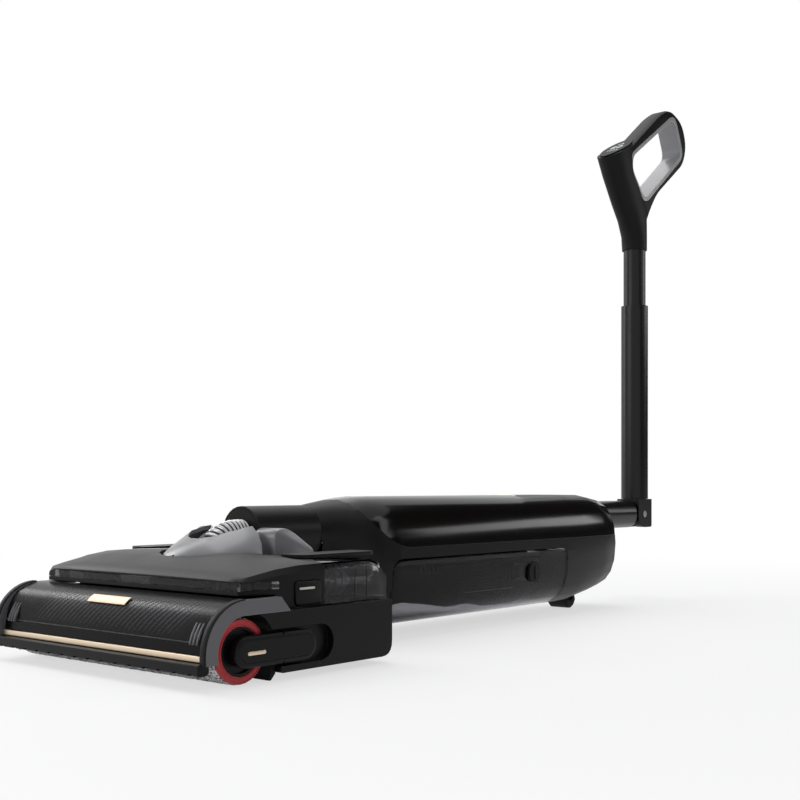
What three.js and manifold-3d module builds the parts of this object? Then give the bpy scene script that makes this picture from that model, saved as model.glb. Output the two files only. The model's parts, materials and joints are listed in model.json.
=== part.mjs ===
// A wet dry floor scrubber lying flat on the floor, with its pole folded upright.
// Millimetres. +X is the open side with the roller's arm, +Y runs back along the body, +Z is up.
// The roller's axis lies on y = 0 while the pieces are shaped. The finished group is moved so that
// its origin is at the middle of its footprint on the floor.

import * as THREE from "three";
import { mergeVertices } from "three/addons/utils/BufferGeometryUtils.js";
import Module from "manifold-3d";

const wasm = await Module();
wasm.setup();

// Clearances and working values
const gap = 0.3; // between two pieces that touch
const runningGap = 0.4; // between a turning piece and what holds it
const slideGap = 0.6; // between a piece that lifts or slides out and its seat
const overrun = 5; // how far a cutting tool passes the face it cuts
const weld = 0.001; // vertices closer than this are one
const leastStep = 0.012;

// Floor head
const headHalfWidth = 130;
const headBottom = 5.5;
const headDeck = 50;
const headRear = 155;
const headFront = 34;
const headCornerRadius = 12;
const headWall = 3.2;
const sideWall = 11;
const roofTop = 57.5;
const roofFront = 3;
const roofSlopeFoot = 43;
const roofSlopeHead = 32;

// Roller and its chamber
const rollerRadius = 24;
const rollerEndRoom = 8.5;
const rollerHalfLength = headHalfWidth - rollerEndRoom;
const coreRadius = 17.2;
const coreBore = 13.5;
const pileChamfer = 1.6;
const chamberRadius = 28.5;
const axleRadius = 5;
const endRingRadius = 22.9;
const endRingWidth = 2.4;
const endRingBore = 17.6;
const endHubRadius = 15.5;
const endHubDepth = 2.2;

// Side trims round the roller's ends
const trimWidth = 6;
const trimInnerRadius = 25.4;
const trimOuterRadius = 36;
const trimTop = 60.5;
const trimTail = 34;
const trimTailFoot = 43.5;
const trimFoot = 18;

// Front bar with its metal strip
const barFront = 38;
const barFoot = 10.6;
const barTop = 18.7;
const barBack = 28;
const barUpperFace = 30.2;
const barUpperTop = 23.6;
const barEdge = 1.6;
const barNotchPitch = 16.6;
const barNotchWidth = 5;
const barNotchDepth = 1.6;
const stripHeight = 4.4;
const stripDepth = 1.6;

// Squeegee blade behind the roller
const bladeTop = 16;
const bladeThickness = 4.4;
const bladeTipThickness = 1.8;
const bladeTipHeight = 5;
const bladeLift = 0.4;

// Roller arm on the open side, and the belt case on the other
const armRadius = 11.2;
const armRearReach = 57;
const armProud = 2;
const armFace = headHalfWidth + armProud;
const armDepth = 7.7;
const armWall = 1.6;
const armPanelInset = 3.2;
const armPanelDepth = 1;
const armSplit = 34.5;
const armSplitWidth = 0.8;
const recessRear = 88;
const recessRadius = 13.6;
const recessDepth = 6;
const recessFloor = headHalfWidth - recessDepth;

// Roller drive
const pulleyRadius = 7.2;
const pulleyWidth = 3.4;
const pulleyTeeth = 12;
const beltThickness = 1.2;
const beltWidth = 3;
const motorRadius = 15;
const motorLength = 78;
const motorShaft = 3;
const driveTipRadius = 8;
const driveTipLength = 9;
const driveLobes = 6;

// Head wheels
const wheelRadius = 13;
const wheelWidth = 12;
const wheelInset = 42;
const wheelBack = 133;
const wheelAxleRadius = 2.6;
const wheelAxleReach = 4;
const wheelTyre = 2;

// Roller cover
const visorThickness = 2;
const plateLength = 46;
const plateHeight = 6.5;
const plateThickness = 1;

// Upper unit: cover, tank lobes, lift plates and latches
const unitFront = 5;
const unitRear = 157;
const unitInset = 6;
const unitTaper = 6;
const unitHalfWidth = headHalfWidth - unitInset;
const unitFrontHalfWidth = unitHalfWidth - unitTaper;
const unitTop = 89;
const unitShell = 2.6;
const unitLip = 62;
const windowFoot = 65;
const windowTop = 70.3;
const windowRear = 39.5;
const windowEdge = 6;
const lobeFront = 84;
const lobeInner = 53.5;
const lobeWall = 2.2;
const lobeChamfer = 14;
const liftPlateThickness = 3;
const liftPlateTop = 87;
const liftPlateWidth = 26;
const liftPlateInset = 16;
const liftPlateOuter = unitHalfWidth - liftPlateInset;
const liftPlateFront = 78;
const liftPlateRear = 160;
const latchFront = 53.5;
const latchRear = 80;
const latchFoot = 51.5;
const latchHead = 69.5;
const latchDepth = 7;
const latchTravel = 2.5;
const latchProud = 1;
const latchRadius = 4;
const filterRadius = 14;
const filterLength = 46;
const filterRibs = 6;

// Neck
const neckAxisHeight = 99;
const neckRadius = 23.4;
const neckWall = 2.4;
const neckFront = 113;
const neckRear = 185;
const pitchBack = 130;
const pitchHeight = 88;
const pinRadius = 6;
const pinReach = 41;
const discThickness = 2.2;
const cheekFront = 104;
const cheekRear = 150;
const cheekTop = 105;
const cheekCrownEnd = 121;
const cheekRound = 9;
const cheekRearTop = 87;
const cheekOuter = 50;
const fairingFront = 41;
const fairingTop = 112;
const fairingHalfWidth = 49;
const fairingShoulder = 79;
const fairingSweep = 15;
const fairingWall = 2.6;
const eyeFront = 63;
const eyeHalfWidth = 25;
const eyeMiddle = 92;
const deckThickness = 3;

// Neck hose
const hoseRadius = 8.6;
const hoseBore = 6.4;
const hoseRibDepth = 1.5;
const hosePitch = 3.6;
const hoseHeight = 89;
const hoseFoot = 75;
const hoseSocketRadius = 11.4;
const hoseSocketHeight = 2.5;

// Body
const bodyRear = 663;
const bodyTop = 130;
const bodyBottom = 9.6;
const bodyHalfWidth = 53;
const bodyWall = 2.8;
const bodySeam = 83;
const seamFront = 219;
const seamBack = 250;
const seamHead = 121;
const seamHeadRound = 20;
const seamFootRound = 26;
const spigotLength = 14;
const bodyTankFront = 248;
const bodyTankRear = 535;
const bodyTankTop = 73;
const bodyTankCorner = 13;
const bodyTankWall = 2.2;
const fillCapBack = 470;
const fillCapHeight = 50;
const fillCapRadius = 11;
const fillCapProud = 1.6;
const capFront = 485;
const capRear = 640;
const capHalfWidth = 29;
const supportRadius = 10.5;
const supportWidth = 26;
const supportBack = 604;
const webRear = 596;

// Pole and its fold hinge
const poleBack = 774;
const foldHeight = 104.5;
const poleRadius = 16.65;
const poleWall = 2.4;
const blockRise = 18.8;
const sleeveFoot = foldHeight + blockRise;
const sleeveTop = 365;
const innerRadius = 13.7;
const innerWall = 1.8;
const innerFoot = 220;
const innerTop = 437;
const stubFront = 600;
const tongueHalfWidth = 5;
const tongueRadius = 12;
const foldPinRadius = 4;
const hingeHalfWidth = 15;
const hingeDrop = 16.5;
const hingeFoot = foldHeight - hingeDrop;
const plugLength = 26;

// Handle
const handleFoot = 435;
const handleHeight = 191;
const handleReach = 117;
const handleThickness = 26;
const handleEdge = 5;
const displayHalfWidth = 18;
const leafHalfWidth = 16.5;
const displayThickness = 1.4;
const linerBand = 4.5;
const rimLand = 2.5;
const linerProud = 0.4;
const triggerThickness = 10;
const triggerProud = 8;
const triggerTravel = 3;
const triggerLength = 15;
const buttonRadius = 5;
const buttonProud = 1;
const buttonDepth = 4;
const buttonTravel = 0.8;

// Pieces inside the body
const fanRadius = 21;
const fanFront = 262;
const fanLength = 58;
const cellRadius = 9.2;
const cellLength = 65;
const packFront = 334;
const boardFront = 484;
const boardLength = 52;
const boardHalf = 26;
const boardThickness = 1.6;
const boardLift = 5;
const boardFootRadius = 2.4;
const pumpFront = 548;
const pumpLength = 40;
const pumpRadius = 11;

// Facet counts
const fine = 28;
const medium = 22;
const coarse = 16;
const unitCrownSteps = 8;
const fairingSteps = 12;
const visorSteps = 12;
const slotSteps = 6;
const hoseSides = 8;
const plainFacets = 6;
const arcSteps = 5;

// Materials
function material(color, roughness, metalness = 0, opacity = 1) {
  return new THREE.MeshStandardMaterial({ color, roughness, metalness, opacity, transparent: opacity < 1 });
}
const satinBlack = material(0x17171a, 0.45);
const glossBlack = material(0x0d0c0c, 0.15);
const softGrey = material(0xb4b5b8, 0.35);
const smoked = material(0x2a2b2e, 0.08, 0, 0.45);
const gold = material(0xcdb593, 0.3, 1);
const red = material(0xc03a3c, 0.5);
const pileGrey = material(0xb9b9ba, 0.95);
const rubberBlack = material(0x101011, 0.8);
const steel = material(0xb8b9bc, 0.3, 1);
const board = material(0x1d4a31, 0.6);
const cellBlue = material(0x2b5c86, 0.5);

// Solids from geometry
function signedVolume(positions, index) {
  const a = new THREE.Vector3();
  const b = new THREE.Vector3();
  const c = new THREE.Vector3();
  let total = 0;
  for (let i = 0; i < index.length; i += 3) {
    a.fromArray(positions, index[i] * 3);
    b.fromArray(positions, index[i + 1] * 3);
    c.fromArray(positions, index[i + 2] * 3);
    total += a.dot(b.cross(c));
  }
  return total;
}

// A closed geometry as a solid, with its faces pointing out.
function solid(geometry) {
  const bare = new THREE.BufferGeometry();
  const source = geometry.index ? geometry.toNonIndexed() : geometry;
  bare.setAttribute("position", source.getAttribute("position"));
  const merged = mergeVertices(bare, weld);
  const positions = merged.attributes.position.array;
  const triVerts = [];
  for (let i = 0; i < merged.index.count; i += 3) {
    const [a, b, c] = [merged.index.getX(i), merged.index.getX(i + 1), merged.index.getX(i + 2)];
    if (a !== b && b !== c && c !== a) triVerts.push(a, b, c);
  }
  if (signedVolume(positions, triVerts) < 0) triVerts.reverse();
  return new wasm.Manifold(
    new wasm.Mesh({
      numProp: 3,
      vertProperties: new Float32Array(positions),
      triVerts: new Uint32Array(triVerts),
    }),
  );
}

// The largest body of a cut solid, without the slivers that a cut along a curve can leave.
function largest(made) {
  const bodies = made.decompose();
  return bodies.reduce((best, body) => (body.volume() > best.volume() ? body : best), bodies[0]);
}

// A solid as a named mesh.
function piece(name, made, finish) {
  const mesh = made.simplify(leastStep).getMesh();
  const indexed = new THREE.BufferGeometry();
  indexed.setAttribute("position", new THREE.BufferAttribute(new Float32Array(mesh.vertProperties), 3));
  indexed.setIndex(new THREE.BufferAttribute(new Uint32Array(mesh.triVerts), 1));
  const geometry = indexed.toNonIndexed();
  geometry.computeVertexNormals();
  const result = new THREE.Mesh(geometry, finish);
  result.name = name;
  return result;
}

// The same piece on the other side of the head.
function mirrored(name, made, finish) {
  const result = piece(name, made, finish);
  result.scale.x = -1;
  return result;
}

const axisX = new THREE.Vector3(1, 0, 0);
const axisY = new THREE.Vector3(0, 1, 0);
const axisZ = new THREE.Vector3(0, 0, 1);
const outlineAcross = new THREE.Matrix4().makeBasis(axisY, axisZ, axisX);
const outlineFacing = new THREE.Matrix4().makeBasis(axisX, axisZ, axisY.clone().negate());
const turnedAlongX = new THREE.Matrix4().makeBasis(axisY.clone().negate(), axisX, axisZ);
const turnedAlongZ = new THREE.Matrix4().makeBasis(axisX, axisZ, axisY.clone().negate());

// A side outline, (y, z), made solid from one x to another.
function across(shape, from, to, steps = arcSteps) {
  const made = new THREE.ExtrudeGeometry(shape, { depth: to - from, bevelEnabled: false, curveSegments: steps });
  return solid(made.applyMatrix4(outlineAcross).translate(from, 0, 0));
}

// A side outline with rounded edges.
function acrossRounded(shape, from, to, edge, steps = arcSteps) {
  const made = new THREE.ExtrudeGeometry(shape, {
    depth: to - from - 2 * edge,
    bevelThickness: edge,
    bevelSize: edge,
    bevelOffset: -edge,
    bevelSegments: 2,
    curveSegments: steps,
  });
  return solid(made.applyMatrix4(outlineAcross).translate(from + edge, 0, 0));
}

// A plan outline, (x, y), made solid from one height to another.
function upright(shape, from, to, steps = arcSteps) {
  const made = new THREE.ExtrudeGeometry(shape, { depth: to - from, bevelEnabled: false, curveSegments: steps });
  return solid(made.translate(0, 0, from));
}

// A front outline, (x, z), made solid from one y to another.
function along(shape, from, to, steps = arcSteps) {
  const made = new THREE.ExtrudeGeometry(shape, { depth: to - from, bevelEnabled: false, curveSegments: steps });
  return solid(made.applyMatrix4(outlineFacing).translate(0, to, 0));
}

// Profiles of (radius, place) turned about a line along X, Y or Z.
function turned(profile, segments, matrix, centre) {
  const made = new THREE.LatheGeometry(profile.map(([r, h]) => new THREE.Vector2(r, h)), segments);
  if (matrix) made.applyMatrix4(matrix);
  return solid(made.translate(centre[0], centre[1], centre[2]));
}
const aboutX = (profile, y, z, segments = medium) => turned(profile, segments, turnedAlongX, [0, y, z]);
const aboutY = (profile, x, z, segments = medium) => turned(profile, segments, null, [x, 0, z]);
const aboutZ = (profile, x, y, segments = medium) => turned(profile, segments, turnedAlongZ, [x, y, 0]);
const rod = (radius, from, to) => [[0, from], [radius, from], [radius, to], [0, to]];
const tube = (bore, radius, from, to) => [[bore, from], [radius, from], [radius, to], [bore, to], [bore, from]];

// A closed outline whose corners are rounded by the radius that each point names third.
function outline(points) {
  const shape = new THREE.Shape();
  const count = points.length;
  const at = (i) => new THREE.Vector2(points[(i + count) % count][0], points[(i + count) % count][1]);
  for (let i = 0; i < count; i++) {
    const corner = at(i);
    const before = at(i - 1).sub(corner);
    const after = at(i + 1).sub(corner);
    const radius = Math.min(points[i][2] || 0, before.length() / 2.05, after.length() / 2.05);
    const start = corner.clone().addScaledVector(before.normalize(), radius);
    const end = corner.clone().addScaledVector(after.normalize(), radius);
    if (i === 0) shape.moveTo(start.x, start.y);
    else shape.lineTo(start.x, start.y);
    if (radius > 0) shape.quadraticCurveTo(corner.x, corner.y, end.x, end.y);
  }
  shape.closePath();
  return shape;
}

// A slot with round ends, from one centre to another at the same height.
function slot(fromY, toY, z, radius) {
  const shape = new THREE.Shape();
  shape.absarc(fromY, z, radius, Math.PI / 2, Math.PI * 1.5, false);
  shape.absarc(toY, z, radius, -Math.PI / 2, Math.PI / 2, false);
  shape.closePath();
  return shape;
}

function box(x0, x1, y0, y1, z0, z1) {
  const made = new THREE.BoxGeometry(x1 - x0, y1 - y0, z1 - z0);
  return solid(made.translate((x0 + x1) / 2, (y0 + y1) / 2, (z0 + z1) / 2));
}

// Rings of points joined into a closed form, each end closed round its middle.
function loft(rings) {
  const count = rings[0].length;
  const positions = [];
  const index = [];
  for (const ring of rings) for (const p of ring) positions.push(p.x, p.y, p.z);
  for (let i = 0; i + 1 < rings.length; i++) {
    for (let j = 0; j < count; j++) {
      const a = i * count + j;
      const b = i * count + ((j + 1) % count);
      index.push(a, b, b + count, a, b + count, a + count);
    }
  }
  for (const [ring, base] of [[rings[0], 0], [rings[rings.length - 1], (rings.length - 1) * count]]) {
    const middle = new THREE.Vector3();
    ring.forEach((p) => middle.addScaledVector(p, 1 / count));
    const centre = positions.length / 3;
    positions.push(middle.x, middle.y, middle.z);
    for (let j = 0; j < count; j++) {
      const a = base + j;
      const b = base + ((j + 1) % count);
      if (base === 0) index.push(centre, b, a);
      else index.push(centre, a, b);
    }
  }
  const made = new THREE.BufferGeometry();
  made.setAttribute("position", new THREE.Float32BufferAttribute(positions, 3));
  made.setIndex(index);
  return solid(made);
}

// A rounded section square to Y: power 2 is an ellipse, and higher powers are squarer.
function ovalAcrossY(y, halfWidth, low, high, power, count = medium) {
  const ring = [];
  const middle = (low + high) / 2;
  for (let i = 0; i < count; i++) {
    const angle = (i / count) * 2 * Math.PI;
    const c = Math.cos(angle);
    const s = Math.sin(angle);
    const x = Math.sign(c) * Math.abs(c) ** (2 / power) * halfWidth;
    const z = middle + (Math.sign(s) * Math.abs(s) ** (2 / power) * (high - low)) / 2;
    ring.push(new THREE.Vector3(x, y, z));
  }
  return ring;
}

// A section square to Z, for the handle's trunk.
function ovalAcrossZ(z, halfWidth, front, back, power, count = medium) {
  return ovalAcrossY(0, halfWidth, front, back, power, count).map((p) => new THREE.Vector3(p.x, p.z, z));
}

// Frame of the finished part
const originBack = (poleBack + handleReach - barFront) / 2;
const scrubber = new THREE.Group();
const parts = new THREE.Group();
parts.position.y = -originBack;
scrubber.add(parts);
const add = (...made) => parts.add(...made);

// Head shell
const axisHeight = rollerRadius;
const trimInner = headHalfWidth - trimWidth;
const innerHalf = trimInner - gap;
const trimFootLine = headDeck - gap * 2;
const roofLine = [
  [headRear, headBottom, headCornerRadius],
  [headRear, headDeck, headWall / 2],
];
const noseLine = [
  [roofFront, axisHeight],
  [chamberRadius - headWall, bladeTop + gap],
  [headFront, bladeTop + gap],
  [headFront, headBottom, headWall / 2],
];

// The floor head's tray: roller chamber in front, a well for the motor and the wheels behind.
function headBase() {
  const middle = outline([
    ...roofLine, [roofSlopeFoot, headDeck], [roofSlopeHead, roofTop], [roofFront, roofTop], ...noseLine,
  ]);
  const side = outline([
    ...roofLine, [trimTailFoot + gap, headDeck], [trimTailFoot, trimFootLine - gap],
    [roofFront, trimFootLine - gap], ...noseLine,
  ]);
  const plateInner = innerHalf - headWall;
  let made = across(middle, -innerHalf, innerHalf)
    .add(across(side, plateInner, headHalfWidth))
    .add(across(side, -headHalfWidth, -plateInner));
  const chamber = rod(chamberRadius, -headHalfWidth - overrun, headHalfWidth + overrun);
  made = made.subtract(aboutX(chamber, 0, axisHeight, fine));
  const plateEnd = -rollerHalfLength - gap * 2;
  const rearHalf = box(-headHalfWidth, 0, -axleRadius, headFront, 0, roofTop);
  const endPlate = aboutX(rod(chamberRadius + headWall / 4, -trimInner, plateEnd), 0, axisHeight, fine)
    .intersect(rearHalf)
    .add(aboutX(rod(trimInnerRadius + gap, -trimInner, plateEnd), 0, axisHeight, fine));
  const driveBore = aboutX(rod(axleRadius + runningGap, -headHalfWidth, 0), 0, axisHeight);
  const below = box(-headHalfWidth, 0, -chamberRadius - overrun, headFront, -overrun, headBottom);
  made = made.add(endPlate.subtract(below));

  const wellHalf = headHalfWidth - sideWall;
  const ledge = headWall / 2;
  const floorTop = headBottom + headWall;
  const wellFront = headFront + headWall;
  const wellRear = headRear - headWall - ledge;
  const deckFoot = headDeck - deckThickness - gap;
  made = made.subtract(box(-wellHalf, wellHalf, wellFront, wellRear, floorTop, deckFoot));
  made = made.subtract(
    box(-wellHalf - ledge, wellHalf + ledge, roofSlopeFoot, headRear - headWall, deckFoot, headDeck + overrun),
  );

  const recess = slot(0, recessRear - recessRadius, axisHeight, recessRadius);
  made = made.subtract(across(recess, recessFloor, headHalfWidth + overrun));
  made = made.subtract(across(recess, -headHalfWidth - overrun, -recessFloor));
  made = made.subtract(driveBore);
  const shaftBore = rod(motorShaft + runningGap, -headHalfWidth, -wellHalf + overrun);
  made = made.subtract(aboutX(shaftBore, armRearReach, axisHeight));

  const wellRoom = wheelRadius + runningGap * 3;
  const reach = wheelWidth / 2 + runningGap + wheelAxleReach + headWall / 2;
  for (const side of [-1, 1]) {
    const x = side * (headHalfWidth - wheelInset);
    made = made.add(
      box(x - reach, x + reach, wheelBack - wellRoom - ledge, wheelBack + wellRoom + ledge,
        headBottom, wheelRadius + wellRoom + ledge),
    );
    const half = wheelWidth / 2 + runningGap;
    made = made.subtract(
      box(x - half, x + half, wheelBack - wellRoom, wheelBack + wellRoom, -overrun, wheelRadius + wellRoom),
    );
    const bore = half + wheelAxleReach + gap;
    made = made.subtract(
      aboutX(rod(wheelAxleRadius + runningGap, x - bore, x + bore), wheelBack, wheelRadius, coarse),
    );
  }
  return made;
}
add(piece("head_base", headBase(), satinBlack));

// The deck closes the tray behind the roof and carries the neck.
const deckSide = headHalfWidth - sideWall + headWall / 2 - gap;
const deckRear = headRear - headWall - gap;
const deckHole = hoseSocketRadius - hoseRibDepth;
const deckPlate = box(-deckSide, deckSide, roofSlopeFoot + gap, deckRear, headDeck - deckThickness, headDeck)
  .subtract(aboutZ(rod(deckHole, 0, headDeck + overrun), 0, hoseFoot));
add(piece("head_deck", deckPlate, satinBlack));

// Side trims: a light band that runs round the roller's end and back along the head.
function trimShape() {
  const shape = new THREE.Shape();
  const footAngle = Math.PI + Math.asin((axisHeight - trimFoot) / trimOuterRadius);
  const innerFootAngle = Math.PI + Math.asin((axisHeight - trimFoot) / trimInnerRadius);
  const tailAngle = Math.asin((trimFootLine - axisHeight) / (trimInnerRadius + gap));
  shape.absarc(0, axisHeight, trimOuterRadius, footAngle, Math.PI / 2, true);
  shape.lineTo(trimTail, trimTop - gap);
  shape.lineTo(trimTailFoot, trimFootLine);
  shape.lineTo(trimInnerRadius * Math.cos(tailAngle), trimFootLine);
  shape.absarc(0, axisHeight, trimInnerRadius, tailAngle, innerFootAngle, false);
  shape.closePath();
  return shape;
}
const trim = across(trimShape(), trimInner, headHalfWidth, 12);
add(piece("side_trim_near", trim, softGrey));
add(mirrored("side_trim_far", trim, softGrey));

// Front bar: a notched black scraper with a metal strip on its upper face.
function frontBar() {
  const shape = outline([
    [-barFront, barFoot, barEdge], [-barUpperFace, barFoot], [-barBack, barFoot + barEdge],
    [-barBack, barUpperTop], [-barUpperFace, barUpperTop], [-barUpperFace, barTop], [-barFront, barTop, barEdge],
  ]);
  let made = across(shape, -innerHalf, innerHalf);
  const count = Math.floor(innerHalf / barNotchPitch);
  for (let i = -count; i <= count; i++) {
    const x = i * barNotchPitch;
    made = made.subtract(
      box(x - barNotchWidth / 2, x + barNotchWidth / 2, -barFront - overrun, -barUpperFace - barNotchDepth,
        barFoot - overrun, barFoot + barNotchDepth),
    );
  }
  return made;
}
add(piece("front_bar", frontBar(), satinBlack));
const stripFoot = barTop + gap;
const strip = outline([
  [-barUpperFace - gap - stripDepth, stripFoot, barEdge / 2], [-barUpperFace - gap, stripFoot],
  [-barUpperFace - gap, stripFoot + stripHeight], [-barUpperFace - gap - stripDepth, stripFoot + stripHeight, barEdge / 2],
]);
add(piece("front_strip", across(strip, -innerHalf, innerHalf), gold));

// Squeegee blade: a rubber lip behind the roller.
const bladeBack = headFront - gap;
const blade = outline([
  [bladeBack, bladeTop], [bladeBack - bladeThickness, bladeTop], [bladeBack - bladeThickness, bladeTipHeight],
  [bladeBack - bladeThickness - bladeTipThickness, bladeLift],
  [bladeBack - bladeThickness, bladeLift], [bladeBack, bladeTipHeight],
]);
add(piece("squeegee_blade", across(blade, -headHalfWidth + trimWidth, headHalfWidth - trimWidth), rubberBlack));

// Roller: a core with an end hub, a fluffy pile and a soft ring at its open end.
const coreNear = trimInner - gap / 3;
const coreFar = -rollerHalfLength + gap;
const tipReach = driveTipLength + gap;
function lobed(radius) {
  const shape = new THREE.Shape();
  const steps = driveLobes * 4;
  for (let i = 0; i <= steps; i++) {
    const angle = (i / steps) * 2 * Math.PI;
    const r = radius * (1 - (i % 4 === 2 ? 1 : 0) * (1 - axleRadius / driveTipRadius));
    const point = [r * Math.cos(angle), axisHeight + r * Math.sin(angle)];
    if (i === 0) shape.moveTo(...point);
    else shape.lineTo(...point);
  }
  return shape;
}
function rollerCore() {
  const wall = coreRadius - coreBore;
  const hubBack = coreNear - endHubDepth;
  const axleEnd = recessFloor + armDepth / 2;
  let made = aboutX(
    [
      [0, coreFar], [coreRadius, coreFar], [coreRadius, coreNear], [endHubRadius, coreNear],
      [endHubRadius, hubBack], [axleRadius, hubBack], [axleRadius, axleEnd], [0, axleEnd],
    ],
    0, axisHeight,
  );
  made = made.subtract(across(lobed(driveTipRadius + gap), coreFar - overrun, coreFar + tipReach));
  return made.subtract(
    aboutX(rod(coreBore, coreFar + tipReach - gap, hubBack - wall), 0, axisHeight),
  );
}
add(piece("roller_core", rollerCore(), satinBlack));
const pileBore = coreRadius + gap;
const pile = aboutX(
  [
    [pileBore, -rollerHalfLength], [rollerRadius - pileChamfer, -rollerHalfLength],
    [rollerRadius, -rollerHalfLength + pileChamfer], [rollerRadius, rollerHalfLength - pileChamfer],
    [rollerRadius - pileChamfer, rollerHalfLength], [pileBore, rollerHalfLength], [pileBore, -rollerHalfLength],
  ],
  0, axisHeight, fine,
);
add(piece("roller_pile", pile, pileGrey));
const ringStart = rollerHalfLength + gap;
const ring = aboutX(tube(endRingBore, endRingRadius, ringStart, ringStart + endRingWidth), 0, axisHeight, fine);
add(piece("roller_end_ring", ring, red));

// Roller arm: a slot-shaped cap that holds the roller's open end and is gripped at its rear.
const armBack = armFace - armDepth;
const armReach = armRearReach;
function armShell() {
  let made = acrossRounded(slot(0, armReach, axisHeight, armRadius), armBack, armFace, armWall, slotSteps);
  made = made.subtract(
    aboutX(rod(axleRadius + runningGap, armBack - overrun, recessFloor + armDepth / 2 + gap), 0, axisHeight),
  );
  made = made.subtract(
    across(slot(armPanelInset / 2, armReach, axisHeight, armRadius - armPanelInset), armFace - armPanelDepth,
      armFace + overrun, slotSteps),
  );
  for (const z of [axisHeight - armRadius, axisHeight + armRadius]) {
    made = made.subtract(
      box(armBack - overrun, armFace + overrun, armSplit - armSplitWidth, armSplit + armSplitWidth,
        z - armWall, z + armWall),
    );
  }
  return made;
}
add(piece("roller_arm", armShell(), satinBlack));
const armPanel = across(
  slot(armPanelInset / 2, armReach, axisHeight, armRadius - armPanelInset - gap), armFace - armPanelDepth + gap,
  armFace, slotSteps,
);
add(piece("roller_arm_panel", armPanel, glossBlack));

// Belt case: the same form on the drive side, hollow for the belt and its pulleys.
function beltCase() {
  const made = acrossRounded(slot(0, armReach, axisHeight, armRadius), armBack, armFace, armWall, slotSteps);
  const inside = slot(0, armReach, axisHeight, armRadius - armWall);
  return made.subtract(across(inside, armBack - overrun, armFace - armWall, slotSteps));
}
add(mirrored("belt_case", beltCase(), satinBlack));

// Roller drive: motor, toothed pulleys and belt.
const pulleyStart = armBack + runningGap;
const pulleyEnd = pulleyStart + pulleyWidth;
function toothed(radius, y) {
  let made = aboutX(rod(radius, -pulleyEnd, -pulleyStart), y, axisHeight, pulleyTeeth * 2);
  const cut = radius / pulleyTeeth;
  for (let i = 0; i < pulleyTeeth; i++) {
    const angle = ((i + 0.5) / pulleyTeeth) * 2 * Math.PI;
    const groove = rod(cut, -pulleyEnd - overrun, -pulleyStart + overrun);
    made = made.subtract(
      aboutX(groove, y + radius * Math.cos(angle), axisHeight + radius * Math.sin(angle), plainFacets),
    );
  }
  return made;
}
const hubShaft = aboutX(rod(axleRadius, -pulleyEnd, coreFar + gap), 0, axisHeight);
const hubTip = across(lobed(driveTipRadius), -rollerHalfLength + gap * 2, -rollerHalfLength + driveTipLength);
add(piece("drive_hub", toothed(pulleyRadius, 0).add(hubShaft).add(hubTip), steel));
const wellSide = headHalfWidth - sideWall;
const shaftEnd = -wellSide + motorLength / 5;
const motorShaftRod = aboutX(rod(motorShaft, -pulleyEnd, shaftEnd), armRearReach, axisHeight, coarse);
add(piece("motor_pulley", toothed(pulleyRadius, armRearReach).add(motorShaftRod), steel));
const motorEnd = -wellSide + gap + motorLength;
const motorCan = aboutX(
  [
    [0, -wellSide + gap], [motorRadius - headWall, -wellSide + gap], [motorRadius, -wellSide + headWall],
    [motorRadius, motorEnd - headWall], [motorRadius - headWall, motorEnd], [0, motorEnd],
  ],
  armRearReach, axisHeight,
).subtract(aboutX(rod(motorShaft + runningGap, -headHalfWidth, shaftEnd + gap), armRearReach, axisHeight, coarse));
add(piece("roller_motor", motorCan, steel));
const beltInner = slot(0, armRearReach, axisHeight, pulleyRadius + gap);
const beltOuter = slot(0, armRearReach, axisHeight, pulleyRadius + gap + beltThickness);
const belt = across(beltOuter, -pulleyStart - beltWidth, -pulleyStart, slotSteps)
  .subtract(across(beltInner, -pulleyStart - beltWidth - overrun, -pulleyStart + overrun, slotSteps));
add(piece("drive_belt", belt, rubberBlack));

// Head wheels with their axle stubs.
for (const [name, side] of [["head_wheel_near", 1], ["head_wheel_far", -1]]) {
  const half = wheelWidth / 2;
  const wheel = aboutX(
    [
      [0, -half - wheelAxleReach], [wheelAxleRadius, -half - wheelAxleReach], [wheelAxleRadius, -half],
      [wheelRadius - wheelTyre, -half], [wheelRadius, -half + wheelTyre], [wheelRadius, half - wheelTyre],
      [wheelRadius - wheelTyre, half], [wheelAxleRadius, half], [wheelAxleRadius, half + wheelAxleReach],
      [0, half + wheelAxleReach],
    ],
    wheelBack, wheelRadius,
  );
  const mesh = piece(name, wheel, rubberBlack);
  mesh.position.x = side * (headHalfWidth - wheelInset);
  add(mesh);
}

// Roller cover: a clear visor whose section rises round the roller, as (angle, radius share).
const visorShares = [[180, 0.848], [161, 0.853], [141, 0.92], [120, 0.978], [93, 0.998], [81, 1.02]];
const visorCurve = new THREE.SplineCurve(
  visorShares.map(([angle, share]) => {
    const turn = THREE.MathUtils.degToRad(angle);
    const r = share * trimOuterRadius;
    return new THREE.Vector2(r * Math.cos(turn), axisHeight + r * Math.sin(turn));
  }),
);
function visorBand(from, to, inner, outer, steps) {
  const points = [];
  for (const [offset, order] of [[outer, 1], [inner, -1]]) {
    for (let i = 0; i <= steps; i++) {
      const t = order > 0 ? from + ((to - from) * i) / steps : to - ((to - from) * i) / steps;
      const at = visorCurve.getPoint(t);
      const tangent = visorCurve.getTangent(t);
      points.push([at.x - tangent.y * offset, at.y + tangent.x * offset]);
    }
  }
  return outline(points);
}
const visor = across(visorBand(0, 1, -visorThickness, 0, visorSteps), -innerHalf, innerHalf);
add(piece("roller_cover", visor, smoked));
const plateStartShare = 0.52;
const plateEndShare = plateStartShare + plateHeight / visorCurve.getLength();
const plateBand = visorBand(plateStartShare, plateEndShare, gap, gap + plateThickness, arcSteps);
const plate = across(plateBand, -plateLength / 2, plateLength / 2);
add(piece("cover_plate", plate, gold));

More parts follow.
